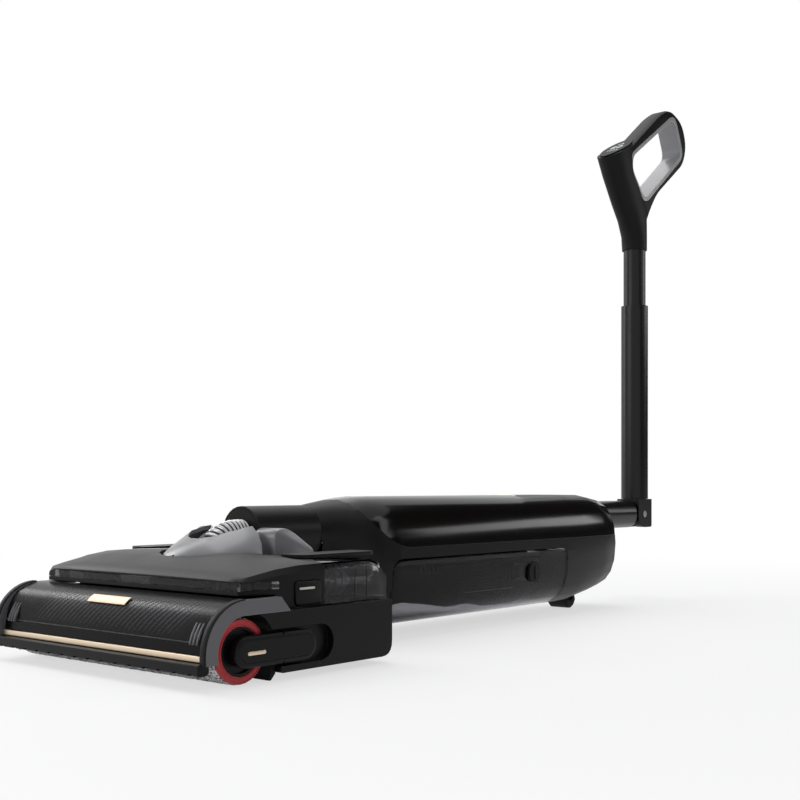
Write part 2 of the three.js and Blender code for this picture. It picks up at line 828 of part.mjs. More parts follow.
// Upper unit: one crowned form, cut into the black cover and the clear tank lobes behind it.
// Each station gives y, then the half-width, edge height and crown height as shares.
const unitStations = [
  [0, 0.98, 0.33, 0.37], [0.015, 0.985, 0.41, 0.46], [0.1, 1, 0.5, 0.6], [0.22, 1, 0.62, 0.8], [0.36, 1, 0.7, 0.92],
  [0.6, 1, 0.73, 0.87], [0.88, 1, 0.73, 0.81], [0.95, 0.995, 0.6, 0.68], [1, 0.985, 0.3, 0.38],
];
const unitFullShare = 0.36;
const unitShoulderShare = 0.15;
const unitCrownShare = 0.975;
const unitCrownPower = 3;
function unitForm(inset) {
  const rings = unitStations.map(([back, widthShare, edgeShare, crownShare]) => {
    const y = unitFront + inset + (unitRear - unitFront - 2 * inset) * back;
    const grow = Math.min(1, back / unitFullShare);
    const wide = unitFrontHalfWidth + (unitHalfWidth - unitFrontHalfWidth) * grow;
    const half = wide * widthShare - inset;
    const low = headDeck + gap + (inset ? -overrun : 0);
    const edge = unitLip + (unitTop - unitLip) * edgeShare - inset;
    const crown = unitLip + (unitTop - unitLip) * crownShare - inset;
    const shoulder = edge - (edge - low) * unitShoulderShare;
    const ring = [new THREE.Vector3(half, y, low), new THREE.Vector3(half, y, shoulder)];
    for (let i = 0; i <= unitCrownSteps; i++) {
      const u = Math.cos((Math.PI * i) / unitCrownSteps);
      const z = edge + (crown - edge) * Math.sqrt(1 - Math.abs(u) ** unitCrownPower);
      ring.push(new THREE.Vector3(half * u * unitCrownShare, y, z));
    }
    ring.push(new THREE.Vector3(-half, y, shoulder), new THREE.Vector3(-half, y, low));
    return ring;
  });
  return loft(rings);
}
const unitSolid = unitForm(0);
const unitInside = unitForm(unitShell);

// The cover's underside steps over the head's roof and drops behind it.
const coverStep = trimTailFoot + slideGap * 2;
const underStep = outline([
  [-overrun * 2, 0], [coverStep, 0], [coverStep, headDeck + gap], [trimTail + slideGap * 2, trimTop + slideGap],
  [roofFront, unitLip - gap], [-overrun * 2, unitLip - gap],
]);
const rearCut = outline([
  [lobeFront, 0], [unitRear + overrun * 2, 0], [unitRear + overrun * 2, unitTop * 2], [lobeFront, unitTop * 2],
]);
const unitSpan = unitHalfWidth + overrun;

// Plan of the neck's opening, as half-widths along y. It is open to the rear.
const fairingShares = [[0, 0.12], [0.06, 0.36], [0.16, 0.58], [0.34, 0.78], [0.6, 0.93], [0.82, 1], [1, 1.02]];
const fairingRear = cheekFront - gap;
const fairingSpan = fairingRear - fairingFront;
function fairingHalf(share, inset) {
  return fairingHalfWidth * share - inset;
}
function neckPlan(room, rear) {
  const right = fairingShares.map(([t, w]) => [fairingHalf(w, -room), fairingFront - room + (fairingSpan + room) * t]);
  const tail = [[lobeInner - slideGap, cheekFront], [lobeInner - slideGap, rear]];
  const half = [...right, ...tail];
  return outline([...half, ...half.map(([x, y]) => [-x, y]).reverse()]);
}
const neckOpening = upright(neckPlan(slideGap, unitRear + overrun), 0, unitTop * 2);

const latchCut = (room) => outline([
  [latchFront - room, latchFoot - room, latchRadius], [latchRear + room, latchFoot - room, latchRadius / 2],
  [latchRear + room, latchHead + room, latchRadius], [latchFront - room, latchHead + room, latchRadius],
]);
const latchBack = unitHalfWidth - latchDepth;

// A clear band round the tank's nose, between the lid above it and the floor flange below it.
const windowBand = (room) =>
  box(-unitSpan, unitSpan, -overrun * 2, windowRear + room, windowFoot - room, windowTop + room)
    .subtract(
      box(-unitFrontHalfWidth + windowEdge, unitFrontHalfWidth - windowEdge, unitFront + windowEdge, unitRear, 0, unitTop),
    );

function tankCover() {
  const floorStart = roofSlopeFoot + unitShell + slideGap;
  const floorRegion = outline([
    [-overrun * 2, 0], [floorStart, 0], [floorStart, headDeck + unitShell], [trimTail + unitShell, trimTop + unitShell],
    [-overrun * 2, unitLip + unitShell],
  ]);
  const hollow = unitInside
    .subtract(across(floorRegion, -unitSpan, unitSpan))
    .subtract(upright(neckPlan(slideGap + unitShell, unitRear + overrun), 0, unitTop * 2));
  const pocketFloor = latchBack - latchTravel - gap;
  return unitSolid
    .subtract(across(underStep, -unitSpan, unitSpan))
    .subtract(across(rearCut, -unitSpan, unitSpan))
    .subtract(neckOpening)
    .subtract(hollow)
    .subtract(windowBand(gap))
    .subtract(across(latchCut(gap), pocketFloor, unitSpan))
    .subtract(across(latchCut(gap), -unitSpan, -pocketFloor));
}
add(piece("tank_cover", tankCover(), satinBlack));
add(piece("tank_window", unitSolid.intersect(windowBand(0)), smoked));

// A tank lobe: a clear box open at the front, where the cover closes it.
function tankLobe() {
  const region = outline([
    [lobeFront + gap, headDeck], [unitRear + overrun, headDeck], [unitRear + overrun, unitTop - lobeChamfer * 2],
    [unitRear - lobeChamfer, unitTop * 2], [lobeFront + gap, unitTop * 2],
  ]);
  const outer = unitSolid.intersect(across(region, lobeInner, unitSpan));
  const room = unitForm(lobeWall).intersect(
    box(lobeInner + lobeWall, unitSpan, lobeFront - overrun, unitRear, headDeck + gap + lobeWall, unitTop),
  );
  return outer.subtract(room);
}
const lobe = tankLobe();
add(piece("tank_lobe_near", lobe, smoked));
add(mirrored("tank_lobe_far", lobe, smoked));

// Lift plates on the lobes, each on a foot cut to the tank's crown.
function liftPlate() {
  const inner = liftPlateOuter - liftPlateWidth;
  const plan = outline([
    [inner, liftPlateFront, liftPlateThickness], [liftPlateOuter, liftPlateFront, liftPlateWidth / 2],
    [liftPlateOuter, liftPlateRear, liftPlateWidth / 4], [inner, liftPlateRear, liftPlateWidth / 4],
  ]);
  const foot = box(inner + liftPlateThickness, liftPlateOuter - liftPlateThickness,
    lobeFront + liftPlateThickness, unitRear - lobeChamfer * 2, unitLip, liftPlateTop - liftPlateThickness + gap);
  const crown = unitSolid.translate([0, 0, gap]);
  return upright(plan, liftPlateTop - liftPlateThickness, liftPlateTop)
    .add(foot)
    .subtract(crown)
    .subtract(crown.mirror([1, 0, 0]));
}
const lift = liftPlate();
add(piece("lift_plate_near", lift, satinBlack));
add(mirrored("lift_plate_far", lift, satinBlack));

const latch = acrossRounded(latchCut(0), latchBack, unitHalfWidth + latchProud, latchProud);
add(piece("tank_latch_near", latch, satinBlack));
add(mirrored("tank_latch_far", latch, satinBlack));

// Strainer in the near lobe: a ribbed drum that lies on the tank's floor.
const strainerHeight = headDeck + gap + lobeWall + gap + filterRadius;
function strainer() {
  const start = lobeFront + lobeWall * 2;
  const profile = [[0, start]];
  const pitch = filterLength / filterRibs;
  for (let i = 0; i < filterRibs; i++) {
    const y = start + pitch * i;
    profile.push([filterRadius, y], [filterRadius, y + pitch / 2]);
    profile.push([filterRadius - lobeWall, y + pitch / 2], [filterRadius - lobeWall, y + pitch]);
  }
  profile.push([0, start + filterLength]);
  return aboutY(profile, (lobeInner + unitHalfWidth) / 2, strainerHeight, coarse);
}
add(piece("tank_strainer", strainer(), softGrey));

// Neck fairing: a crowned horseshoe round the hose, open to the rear.
const fairingCrowns = [0.13, 0.24, 0.38, 0.54, 0.84, 0.96, 1];
const fairingFullness = 0.6;
function fairingForm(inset) {
  const rings = fairingShares.map(([t, w], i) => {
    const y = fairingFront + (i === 0 ? inset : 0) + fairingSpan * t + (inset && t === 1 ? overrun : 0);
    const half = Math.max(fairingHalf(w, inset), gap);
    const crown = fairingShoulder + (fairingTop - fairingShoulder) * fairingCrowns[i] - inset;
    const low = headDeck + gap - (inset ? overrun : 0);
    const edge = fairingShoulder - inset;
    const ring = [new THREE.Vector3(half, y, low)];
    for (let j = 0; j <= fairingSteps; j++) {
      const u = Math.cos((Math.PI * j) / fairingSteps);
      ring.push(new THREE.Vector3(half * u, y, edge + (crown - edge) * (1 - u * u) ** fairingFullness));
    }
    ring.push(new THREE.Vector3(-half, y, low));
    return ring;
  });
  return loft(rings);
}
function neckFairing() {
  const eye = new THREE.Shape();
  eye.absellipse(0, eyeMiddle, eyeHalfWidth, eyeMiddle - eyeFront, 0, Math.PI, true);
  eye.lineTo(-eyeHalfWidth, cheekFront + overrun);
  eye.lineTo(eyeHalfWidth, cheekFront + overrun);
  eye.closePath();
  const roof = outline([
    [0, 0], [roofSlopeFoot + gap, 0], [roofSlopeFoot + gap, headDeck + gap], [roofSlopeHead + gap, roofTop + gap],
    [0, roofTop + gap],
  ]);
  const sweep = outline([
    [fairingRear - fairingSweep, headDeck], [fairingRear - fairingSweep, fairingShoulder - fairingWall],
    [fairingRear, fairingTop - fairingWall], [fairingRear + overrun, fairingTop], [fairingRear + overrun, headDeck],
  ]);
  return fairingForm(0)
    .subtract(fairingForm(fairingWall))
    .subtract(across(sweep, -fairingHalfWidth * 2, fairingHalfWidth * 2))
    .subtract(upright(eye, fairingShoulder, fairingTop * 2, 10))
    .subtract(across(roof, -fairingHalfWidth, fairingHalfWidth));
}
add(piece("neck_fairing", neckFairing(), softGrey));

// Yoke cheeks: the two posts that hold the neck's pins.
const cheekSide = outline([
  [cheekFront, headDeck + gap], [cheekFront, cheekTop, cheekRound], [cheekCrownEnd, cheekTop, cheekRound],
  [cheekRear, cheekRearTop, cheekRound / 2], [cheekRear - headWall, headDeck + gap],
]);
const cheekInner = eyeHalfWidth - slideGap;
const cheek = acrossRounded(cheekSide, cheekInner, cheekOuter, fairingWall)
  .subtract(aboutX(rod(pinRadius + gap, 0, pinReach + gap), pitchBack, pitchHeight))
  .subtract(box(0, headHalfWidth, 0, headRear * 2, 0, headDeck + gap));
add(piece("yoke_cheek_near", cheek, softGrey));
add(mirrored("yoke_cheek_far", cheek, softGrey));

// Neck tube with its pins, and the end disc that the hose meets.
const neckBore = neckRadius - neckWall;
const pins = aboutX(rod(pinRadius, -pinReach, pinReach), pitchBack, pitchHeight, coarse)
  .subtract(aboutY(rod(neckBore, neckFront, neckRear), 0, neckAxisHeight, fine));
const neckTube = aboutY(tube(neckBore, neckRadius, neckFront, neckRear - gap), 0, neckAxisHeight, fine).add(pins);
add(piece("neck_tube", neckTube, satinBlack));
const disc = aboutY(rod(neckBore - gap, neckFront, neckFront + discThickness), 0, neckAxisHeight, fine)
  .subtract(aboutY(rod(hoseBore, neckFront - overrun, neckFront + overrun), 0, hoseHeight, coarse));
add(piece("neck_disc", disc, satinBlack));
const socket = aboutZ(tube(hoseBore, hoseSocketRadius, headDeck + gap, headDeck + gap + hoseSocketHeight), 0, hoseFoot);
add(piece("hose_socket", socket, satinBlack));

// Ribbed hose from the disc down to the socket.
const hoseDiameter = hoseRadius * 2;
const hoseEnd = headDeck + gap * 2 + hoseSocketHeight;
const hoseStart = neckFront - gap;
const hoseTurn = hoseStart - hoseDiameter - hoseFoot;
const hoseArc = new THREE.CurvePath();
const hosePoint = (y, z) => new THREE.Vector3(0, y, z);
hoseArc.add(new THREE.LineCurve3(hosePoint(hoseStart, hoseHeight), hosePoint(hoseFoot + hoseTurn, hoseHeight)));
const bendFactor = 0.5523;
hoseArc.add(
  new THREE.CubicBezierCurve3(
    hosePoint(hoseFoot + hoseTurn, hoseHeight),
    hosePoint(hoseFoot + hoseTurn * (1 - bendFactor), hoseHeight),
    hosePoint(hoseFoot, hoseHeight - hoseTurn * (1 - bendFactor)),
    hosePoint(hoseFoot, hoseHeight - hoseTurn),
  ),
);
hoseArc.add(new THREE.LineCurve3(hosePoint(hoseFoot, hoseHeight - hoseTurn), hosePoint(hoseFoot, hoseEnd)));
const ribTopShare = 0.35;
const ribFootShare = 0.85;
const boreEvery = 5;
function ribbedHose() {
  const ribs = Math.round(hoseArc.getLength() / hosePitch);
  const rings = [];
  const ringAt = (t, radius) => {
    const at = hoseArc.getPointAt(t);
    const way = hoseArc.getTangentAt(t);
    const up = new THREE.Vector3(0, -way.z, way.y);
    return Array.from({ length: hoseSides }, (_, i) => {
      const angle = (i / hoseSides) * 2 * Math.PI;
      return at.clone().addScaledVector(axisX, radius * Math.cos(angle)).addScaledVector(up, radius * Math.sin(angle));
    });
  };
  rings.push(ringAt(0, hoseRadius - hoseRibDepth));
  for (let i = 0; i < ribs; i++) {
    rings.push(ringAt((i + ribTopShare) / ribs, hoseRadius));
    rings.push(ringAt((i + ribFootShare) / ribs, hoseRadius - hoseRibDepth));
  }
  rings.push(ringAt(1, hoseRadius - hoseRibDepth));
  const outerCount = rings.length;
  for (let i = ribs; i >= 0; i -= boreEvery) rings.push(ringAt(i / ribs, hoseBore));
  if (ribs % boreEvery) rings.push(ringAt(0, hoseBore));
  const positions = rings.flat().flatMap((p) => p.toArray());
  const index = [];
  for (let i = 0; i < rings.length; i++) {
    const next = (i + 1) % rings.length;
    for (let j = 0; j < hoseSides; j++) {
      const k = (j + 1) % hoseSides;
      const [a, b, c, d] = [i * hoseSides + j, i * hoseSides + k, next * hoseSides + k, next * hoseSides + j];
      index.push(a, b, c, a, c, d);
    }
  }
  console.log(`hose: ${ribs} ribs, ${outerCount} outer rings, ${hoseArc.getLength().toFixed(1)} mm long`);
  const made = new THREE.BufferGeometry();
  made.setAttribute("position", new THREE.Float32BufferAttribute(positions, 3));
  made.setIndex(index);
  return solid(made);
}
add(piece("neck_hose", ribbedHose(), steel));

// Body: one form from the neck's end to the rear, cut into shells, tank and cap.
// Each station gives y, top, bottom and half-width as shares, then the power of the section.
const bodyStations = [
  [0, 0.937, 0.548, 0.4415, 2], [0.03, 0.955, 0.47, 0.53, 2.1], [0.07, 0.975, 0.23, 0.76, 2.3],
  [0.11, 0.99, 0.06, 0.94, 2.6], [0.15, 1, 0, 1, 2.9], [0.6, 1, 0, 1, 2.9], [0.8, 1, 0.003, 1, 2.8],
  [0.9, 0.995, 0.06, 0.965, 2.7], [0.96, 0.965, 0.1, 0.9, 2.6], [0.985, 0.88, 0.18, 0.78, 2.5], [1, 0.64, 0.29, 0.55, 2.4],
];
const bodyLength = bodyRear - neckRear;
function bodyForm(inset) {
  const rings = bodyStations.map(([back, topShare, lowShare, wideShare, power], i) => {
    const first = i === 0;
    const last = i === bodyStations.length - 1;
    const y = neckRear + bodyLength * back + (first ? -Math.sign(inset) * overrun * 3 : 0) - (last ? inset : 0);
    const high = bodyBottom + (bodyTop - bodyBottom) * topShare - inset;
    const low = bodyBottom + (bodyTop - bodyBottom) * lowShare + inset;
    return ovalAcrossY(y, bodyHalfWidth * wideShare - inset, low, high, power, medium);
  });
  return loft(rings);
}
const bodySolid = bodyForm(0);
const bodyInside = bodyForm(bodyWall);
const bodySpan = bodyHalfWidth + overrun;

// The glossy top starts behind the neck and its edge sweeps down to the side seam.
const topRegion = (room) => outline([
  [seamFront + room, bodyTop * 2], [seamFront + room, seamHead, seamHeadRound],
  [seamBack + room, bodySeam + room, seamFootRound],
  [bodyRear * 2, bodySeam + room], [bodyRear * 2, bodyTop * 2],
]);
const tankRegion = (room) => outline([
  [bodyTankFront - room, 0], [bodyTankRear + room, 0],
  [bodyTankRear + room, bodyTankTop + room, bodyTankCorner], [bodyTankFront - room, bodyTankTop + room, bodyTankCorner],
]);
const farWall = -bodyHalfWidth + bodyWall;
const webTop = bodyTankTop + gap * 2 + bodyWall;
const stubBore = aboutY(rod(poleRadius + gap, stubFront - overrun, bodyRear + overrun), 0, foldHeight);

function lowerShell() {
  const web = box(-bodySpan, bodySpan, bodyTankFront, webRear, bodyTankTop + gap * 2, webTop);
  const frontWeb = box(-bodySpan, bodySpan, bodyTankFront - slideGap - bodyWall, bodyTankFront - slideGap, 0, webTop);
  const rearWeb = box(-bodySpan, bodySpan, bodyTankRear + slideGap, bodyTankRear + slideGap + bodyWall, 0, webTop);
  const wheelRoom = supportRadius + runningGap * 2;
  const wheelHalf = supportWidth / 2 + runningGap;
  const fork = box(
    -wheelHalf - wheelAxleReach - bodyWall, wheelHalf + wheelAxleReach + bodyWall,
    supportBack - wheelRoom - bodyWall, supportBack + wheelRoom + bodyWall, 0, supportRadius + wheelRoom + bodyWall,
  );
  let made = bodySolid.subtract(bodyInside.subtract(web.add(frontWeb).add(rearWeb).add(fork)));
  made = made.subtract(across(topRegion(0), -bodySpan, bodySpan));
  made = made.subtract(across(tankRegion(slideGap), farWall - gap, bodySpan));
  made = made.subtract(
    box(-wheelHalf, wheelHalf, supportBack - wheelRoom, supportBack + wheelRoom, 0, supportRadius + wheelRoom),
  );
  made = made.subtract(
    aboutX(
      rod(wheelAxleRadius + runningGap, -wheelHalf - wheelAxleReach - gap, wheelHalf + wheelAxleReach + gap),
      supportBack, supportRadius, coarse,
    ),
  );
  const spigotBore = neckBore - slideGap - neckWall;
  const spigot = aboutY(
    [
      [spigotBore, neckRear - spigotLength], [neckBore - slideGap, neckRear - spigotLength],
      [neckBore - slideGap, neckRear + gap], [neckRadius - gap, neckRear + gap], [neckRadius - gap, neckRear + bodyWall],
      [spigotBore, neckRear + bodyWall], [spigotBore, neckRear - spigotLength],
    ],
    0, neckAxisHeight, fine,
  );
  return largest(made.add(spigot).subtract(stubBore));
}
const cap = capHalfWidth / 3;
const capPlan = (room) => outline([
  [-capHalfWidth - room, capFront - room, cap], [capHalfWidth + room, capFront - room, cap],
  [capHalfWidth + room, capRear + room, cap], [-capHalfWidth - room, capRear + room, cap],
]);
const bodySkin = bodySolid.subtract(bodyInside);
const topShell = bodySkin
  .intersect(across(topRegion(gap), -bodySpan, bodySpan))
  .subtract(upright(capPlan(gap), bodySeam, bodyTop * 2))
  .subtract(stubBore);
const rearCap = bodySkin.intersect(upright(capPlan(0), bodySeam, bodyTop * 2)).subtract(stubBore);
add(piece("body_lower_shell", lowerShell(), satinBlack));
add(piece("body_top_shell", topShell, glossBlack));
add(piece("body_rear_cap", rearCap, satinBlack));

// Clean water tank: a cassette that slides out of the open side, with its fill cap.
function cleanTank() {
  const outer = bodySolid.intersect(across(tankRegion(0), farWall + gap, bodySpan));
  const room = bodyForm(bodyTankWall).intersect(
    across(tankRegion(-bodyTankWall), farWall + gap + bodyTankWall, bodySpan),
  );
  const raisedFloor = box(-bodySpan, bodySpan, bodyTankFront, bodyTankRear, 0, bodyBottom + bodyTankWall);
  const mouth = aboutX(rod(fillCapRadius - bodyTankWall, 0, bodySpan), fillCapBack, fillCapHeight);
  const seat = aboutX(rod(fillCapRadius + gap, bodyHalfWidth - fillCapProud, bodySpan), fillCapBack, fillCapHeight);
  return outer.subtract(room.subtract(raisedFloor)).subtract(mouth).subtract(seat);
}
add(piece("clean_tank", cleanTank(), smoked));
const capIn = bodyHalfWidth - fillCapProud + gap;
const fillCap = aboutX(
  [
    [0, capIn - bodyTankWall * 3], [fillCapRadius - bodyTankWall - gap, capIn - bodyTankWall * 3],
    [fillCapRadius - bodyTankWall - gap, capIn], [fillCapRadius, capIn],
    [fillCapRadius, bodyHalfWidth + fillCapProud - gap], [fillCapRadius - fillCapProud, bodyHalfWidth + fillCapProud],
    [0, bodyHalfWidth + fillCapProud],
  ],
  fillCapBack, fillCapHeight,
);
add(piece("tank_fill_cap", fillCap, rubberBlack));

// Support wheel under the body's rear.
const supportHalf = supportWidth / 2;
const supportWheel = aboutX(
  [
    [0, -supportHalf - wheelAxleReach], [wheelAxleRadius, -supportHalf - wheelAxleReach], [wheelAxleRadius, -supportHalf],
    [supportRadius - wheelTyre, -supportHalf], [supportRadius, -supportHalf + wheelTyre],
    [supportRadius, supportHalf - wheelTyre], [supportRadius - wheelTyre, supportHalf],
    [wheelAxleRadius, supportHalf], [wheelAxleRadius, supportHalf + wheelAxleReach], [0, supportHalf + wheelAxleReach],
  ],
  supportBack, supportRadius,
);
add(piece("support_wheel", supportWheel, rubberBlack));

// Inside the body, all on the web above the tank: fan, battery, board and pump.
const seatHeight = webTop + gap;
// A turned piece along y, from (radius, length) shares.
const turnedShares = (shares, radius, front, length) =>
  aboutY(shares.map(([r, l]) => [r * radius, front + l * length]), 0, seatHeight + radius, coarse);
const fanShares = [[0, 0], [0.5, 0], [1, 0.15], [1, 0.55], [0.75, 0.62], [0.75, 1], [0, 1]];
const pumpShares = [[0, 0], [1, 0], [1, 0.6], [0.7, 0.62], [0.7, 1], [0, 1]];
const fan = turnedShares(fanShares, fanRadius, fanFront, fanLength);
add(piece("suction_fan", fan, steel));
function batteryPack() {
  const high = seatHeight + cellRadius * 4;
  let made = box(-cellRadius * 3, cellRadius * 3, packFront, packFront + cellLength * 2, seatHeight, high);
  for (const column of [-2, 0, 2]) {
    for (const row of [0, 1]) {
      const start = packFront + cellLength * row;
      const middle = high - cellRadius;
      const cell = aboutY(rod(cellRadius - gap / 2, start + gap, start + cellLength - gap), column * cellRadius, middle, coarse);
      const bed = box((column - 1) * cellRadius, (column + 1) * cellRadius, start, start + cellLength, middle, high + gap);
      made = made.subtract(bed).add(cell);
    }
  }
  return made;
}
add(piece("battery_pack", batteryPack(), cellBlue));
function mainBoard() {
  let made = box(-boardHalf, boardHalf, boardFront, boardFront + boardLength, seatHeight + boardLift,
    seatHeight + boardLift + boardThickness);
  for (const x of [-1, 1]) {
    for (const y of [boardFront + boardLift, boardFront + boardLength - boardLift]) {
      const foot = rod(boardFootRadius, seatHeight, seatHeight + boardLift + boardThickness);
      made = made.add(aboutZ(foot, x * (boardHalf - boardLift), y, coarse));
    }
  }
  const chip = box(-boardHalf / 3, boardHalf / 3, boardFront + boardLength / 3, boardFront + (boardLength * 2) / 3,
    seatHeight + boardLift, seatHeight + boardLift * 2);
  return made.add(chip);
}
add(piece("main_board", mainBoard(), board));
const pump = turnedShares(pumpShares, pumpRadius, pumpFront, pumpLength);
add(piece("water_pump", pump, steel));

// Stub tube with the hinge tongue, held in the body's rear.
const stubEnd = poleBack - poleRadius - gap * 2;
const hingeSweep = Math.hypot(poleRadius, foldHeight - hingeFoot);
function poleStub() {
  const tongue = slot(poleBack - hingeSweep - tongueRadius, poleBack, foldHeight, tongueRadius);
  return aboutY(rod(poleRadius, stubFront, stubEnd), 0, foldHeight)
    .subtract(aboutY(rod(poleRadius - poleWall, stubFront - overrun, stubEnd - plugLength), 0, foldHeight))
    .subtract(aboutX(rod(hingeSweep + runningGap, -poleRadius * 2, poleRadius * 2), poleBack, foldHeight))
    .add(across(tongue, -tongueHalfWidth, tongueHalfWidth))
    .subtract(aboutX(rod(foldPinRadius + gap, -poleRadius, poleRadius), poleBack, foldHeight, coarse));
}
add(piece("pole_stub", poleStub(), satinBlack));

// Pole: hinge block, pin, outer sleeve and the inner tube that slides in it.
function hingeBlock() {
  const front = poleBack - poleRadius;
  const rear = poleBack + poleRadius;
  const side = outline([
    [front, sleeveFoot - gap], [front, foldHeight - poleRadius, poleRadius], [rear, hingeFoot, headWall],
    [rear, sleeveFoot - gap],
  ]);
  const slotRoom = tongueRadius + runningGap * 2;
  const slotHalf = tongueHalfWidth + runningGap;
  return across(side, -hingeHalfWidth, hingeHalfWidth, 8)
    .add(aboutZ(rod(poleRadius - poleWall - gap, sleeveFoot - gap * 2, sleeveFoot + plugLength), 0, poleBack))
    .subtract(
      box(-slotHalf, slotHalf, front - overrun, poleBack + slotRoom, 0, foldHeight + slotRoom),
    )
    .subtract(aboutX(rod(foldPinRadius + gap, -poleRadius, poleRadius), poleBack, foldHeight, coarse));
}
add(piece("fold_hinge_block", hingeBlock(), satinBlack));
add(piece("fold_pin", aboutX(rod(foldPinRadius, -hingeHalfWidth, hingeHalfWidth), poleBack, foldHeight, coarse), steel));
const sleeve = aboutZ(tube(poleRadius - poleWall, poleRadius, sleeveFoot, sleeveTop), 0, poleBack);
add(piece("pole_sleeve", sleeve, satinBlack));
const innerTube = aboutZ(tube(innerRadius - innerWall, innerRadius, innerFoot, innerTop), 0, poleBack);
add(piece("pole_inner_tube", innerTube, satinBlack));

// Handle: a trunk that rises from the tube to the display, and a loop behind it.
// Outlines are (y, z) from the pole's axis and the handle's foot, as shares of reach and height.
const atHandle = (y, z, radiusShare = 0) => [poleBack + y * handleReach, handleFoot + z * handleHeight, radiusShare * handleReach];
const trunkStations = [
  [0, 0.132, -0.132, 0.132, 2], [0.089, 0.132, -0.15, 0.133, 2.1], [0.183, 0.134, -0.239, 0.145, 2.2],
  [0.277, 0.138, -0.376, 0.154, 2.3], [0.44, 0.145, -0.547, -0.051, 2.4], [0.576, 0.152, -0.667, -0.188, 2.4],
  [0.78, 0.154, -0.795, -0.205, 2.4],
];
const loopShares = [
  [0.06, 0.162, 0], [0.179, 0.283, 0.085], [0.325, 0.398, 0.094], [0.94, 0.675, 0.111],
  [1.017, 0.812, 0.12], [0.915, 0.958, 0.128], [0.615, 1.016, 0.12], [0.393, 0.948, 0.12],
  [-0.103, 0.715, 0.068], [-0.359, 0.586, 0], [-0.282, 0.372, 0],
];
const openingShares = [
  [0.026, 0.298, 0.111], [0.915, 0.723, 0.128], [0.701, 0.995, 0.145], [-0.265, 0.597, 0.103],
  [-0.282, 0.487, 0.111],
];
const displayFront = atHandle(-0.632, 0.545);
const displayBack = atHandle(-0.141, 0.715);
const displayWay = new THREE.Vector2(displayBack[0] - displayFront[0], displayBack[1] - displayFront[1]).normalize();
const displayUp = new THREE.Vector2(-displayWay.y, displayWay.x);
const fromDisplay = (runs, rises) => [
  displayFront[0] + displayWay.x * runs + displayUp.x * rises,
  displayFront[1] + displayWay.y * runs + displayUp.y * rises,
];
const displayLength = Math.hypot(displayBack[0] - displayFront[0], displayBack[1] - displayFront[1]);
const loopOutline = outline(loopShares.map((p) => atHandle(...p)));
const openingOutline = outline(openingShares.map((p) => atHandle(...p)));

// The opening's outline with each of its edges moved in by a margin.
const openingCorners = openingShares.map((p) => atHandle(...p));
function drawnIn(margin) {
  const count = openingCorners.length;
  const edge = (i) => {
    const from = new THREE.Vector2(...openingCorners[(i + count) % count]);
    const way = new THREE.Vector2(...openingCorners[(i + 1 + count) % count]).sub(from).normalize();
    return { from: from.add(new THREE.Vector2(-way.y, way.x).multiplyScalar(margin)), way };
  };
  return outline(
    openingCorners.map(([, , radius], i) => {
      const a = edge(i - 1);
      const b = edge(i);
      const apart = b.from.clone().sub(a.from);
      const run = apart.cross(b.way) / a.way.cross(b.way);
      const at = a.from.clone().addScaledVector(a.way, run);
      return [at.x, at.y, Math.max(radius - margin / 2, radius / 2)];
    }),
  );
}
const handleHalf = handleThickness / 2;

// The trigger sits low on the trunk's side of the opening.
const gripStart = new THREE.Vector2(...atHandle(-0.051, 0.34).slice(0, 2));
const gripEnd = new THREE.Vector2(...atHandle(-0.244, 0.462).slice(0, 2));
const gripWay = gripEnd.clone().sub(gripStart).normalize();
const gripIn = new THREE.Vector2(gripWay.y, -gripWay.x);
function gripOutline(start, length, deep, proud, round) {
  const corner = (runs, out) => [
    gripStart.x + gripWay.x * runs + gripIn.x * out,
    gripStart.y + gripWay.y * runs + gripIn.y * out,
  ];
  return outline([
    [...corner(start, -deep), 0], [...corner(start, proud), round],
    [...corner(start + length, proud), round], [...corner(start + length, -deep), 0],
  ]);
}
const triggerDeep = linerBand / 2;
const pocketDeep = triggerDeep + triggerTravel + gap;
const triggerHalf = triggerThickness / 2;
const triggers = [["trigger_lower", gap * 4], ["trigger_upper", gap * 8 + triggerLength]];

// Two round buttons on the outside of the loop's lower bar.
const barStart = new THREE.Vector2(...atHandle(0.325, 0.398).slice(0, 2));
const barEnd = new THREE.Vector2(...atHandle(0.94, 0.675).slice(0, 2));
const barWay = barEnd.clone().sub(barStart).normalize();
const barOut = new THREE.Vector2(barWay.y, -barWay.x);
const barAngle = Math.atan2(barOut.y, barOut.x);
function buttonRod(share, radius, inner, outer) {
  const at = barStart.clone().lerp(barEnd, share);
  const made = new THREE.LatheGeometry(rod(radius, inner, outer).map(([r, h]) => new THREE.Vector2(r, h)), coarse);
  const turn = new THREE.Matrix4().makeRotationX(barAngle);
  return solid(made.applyMatrix4(turn).translate(0, at.x, at.y));
}
const buttons = [["mode_button", 0.3], ["power_button", 0.72]];

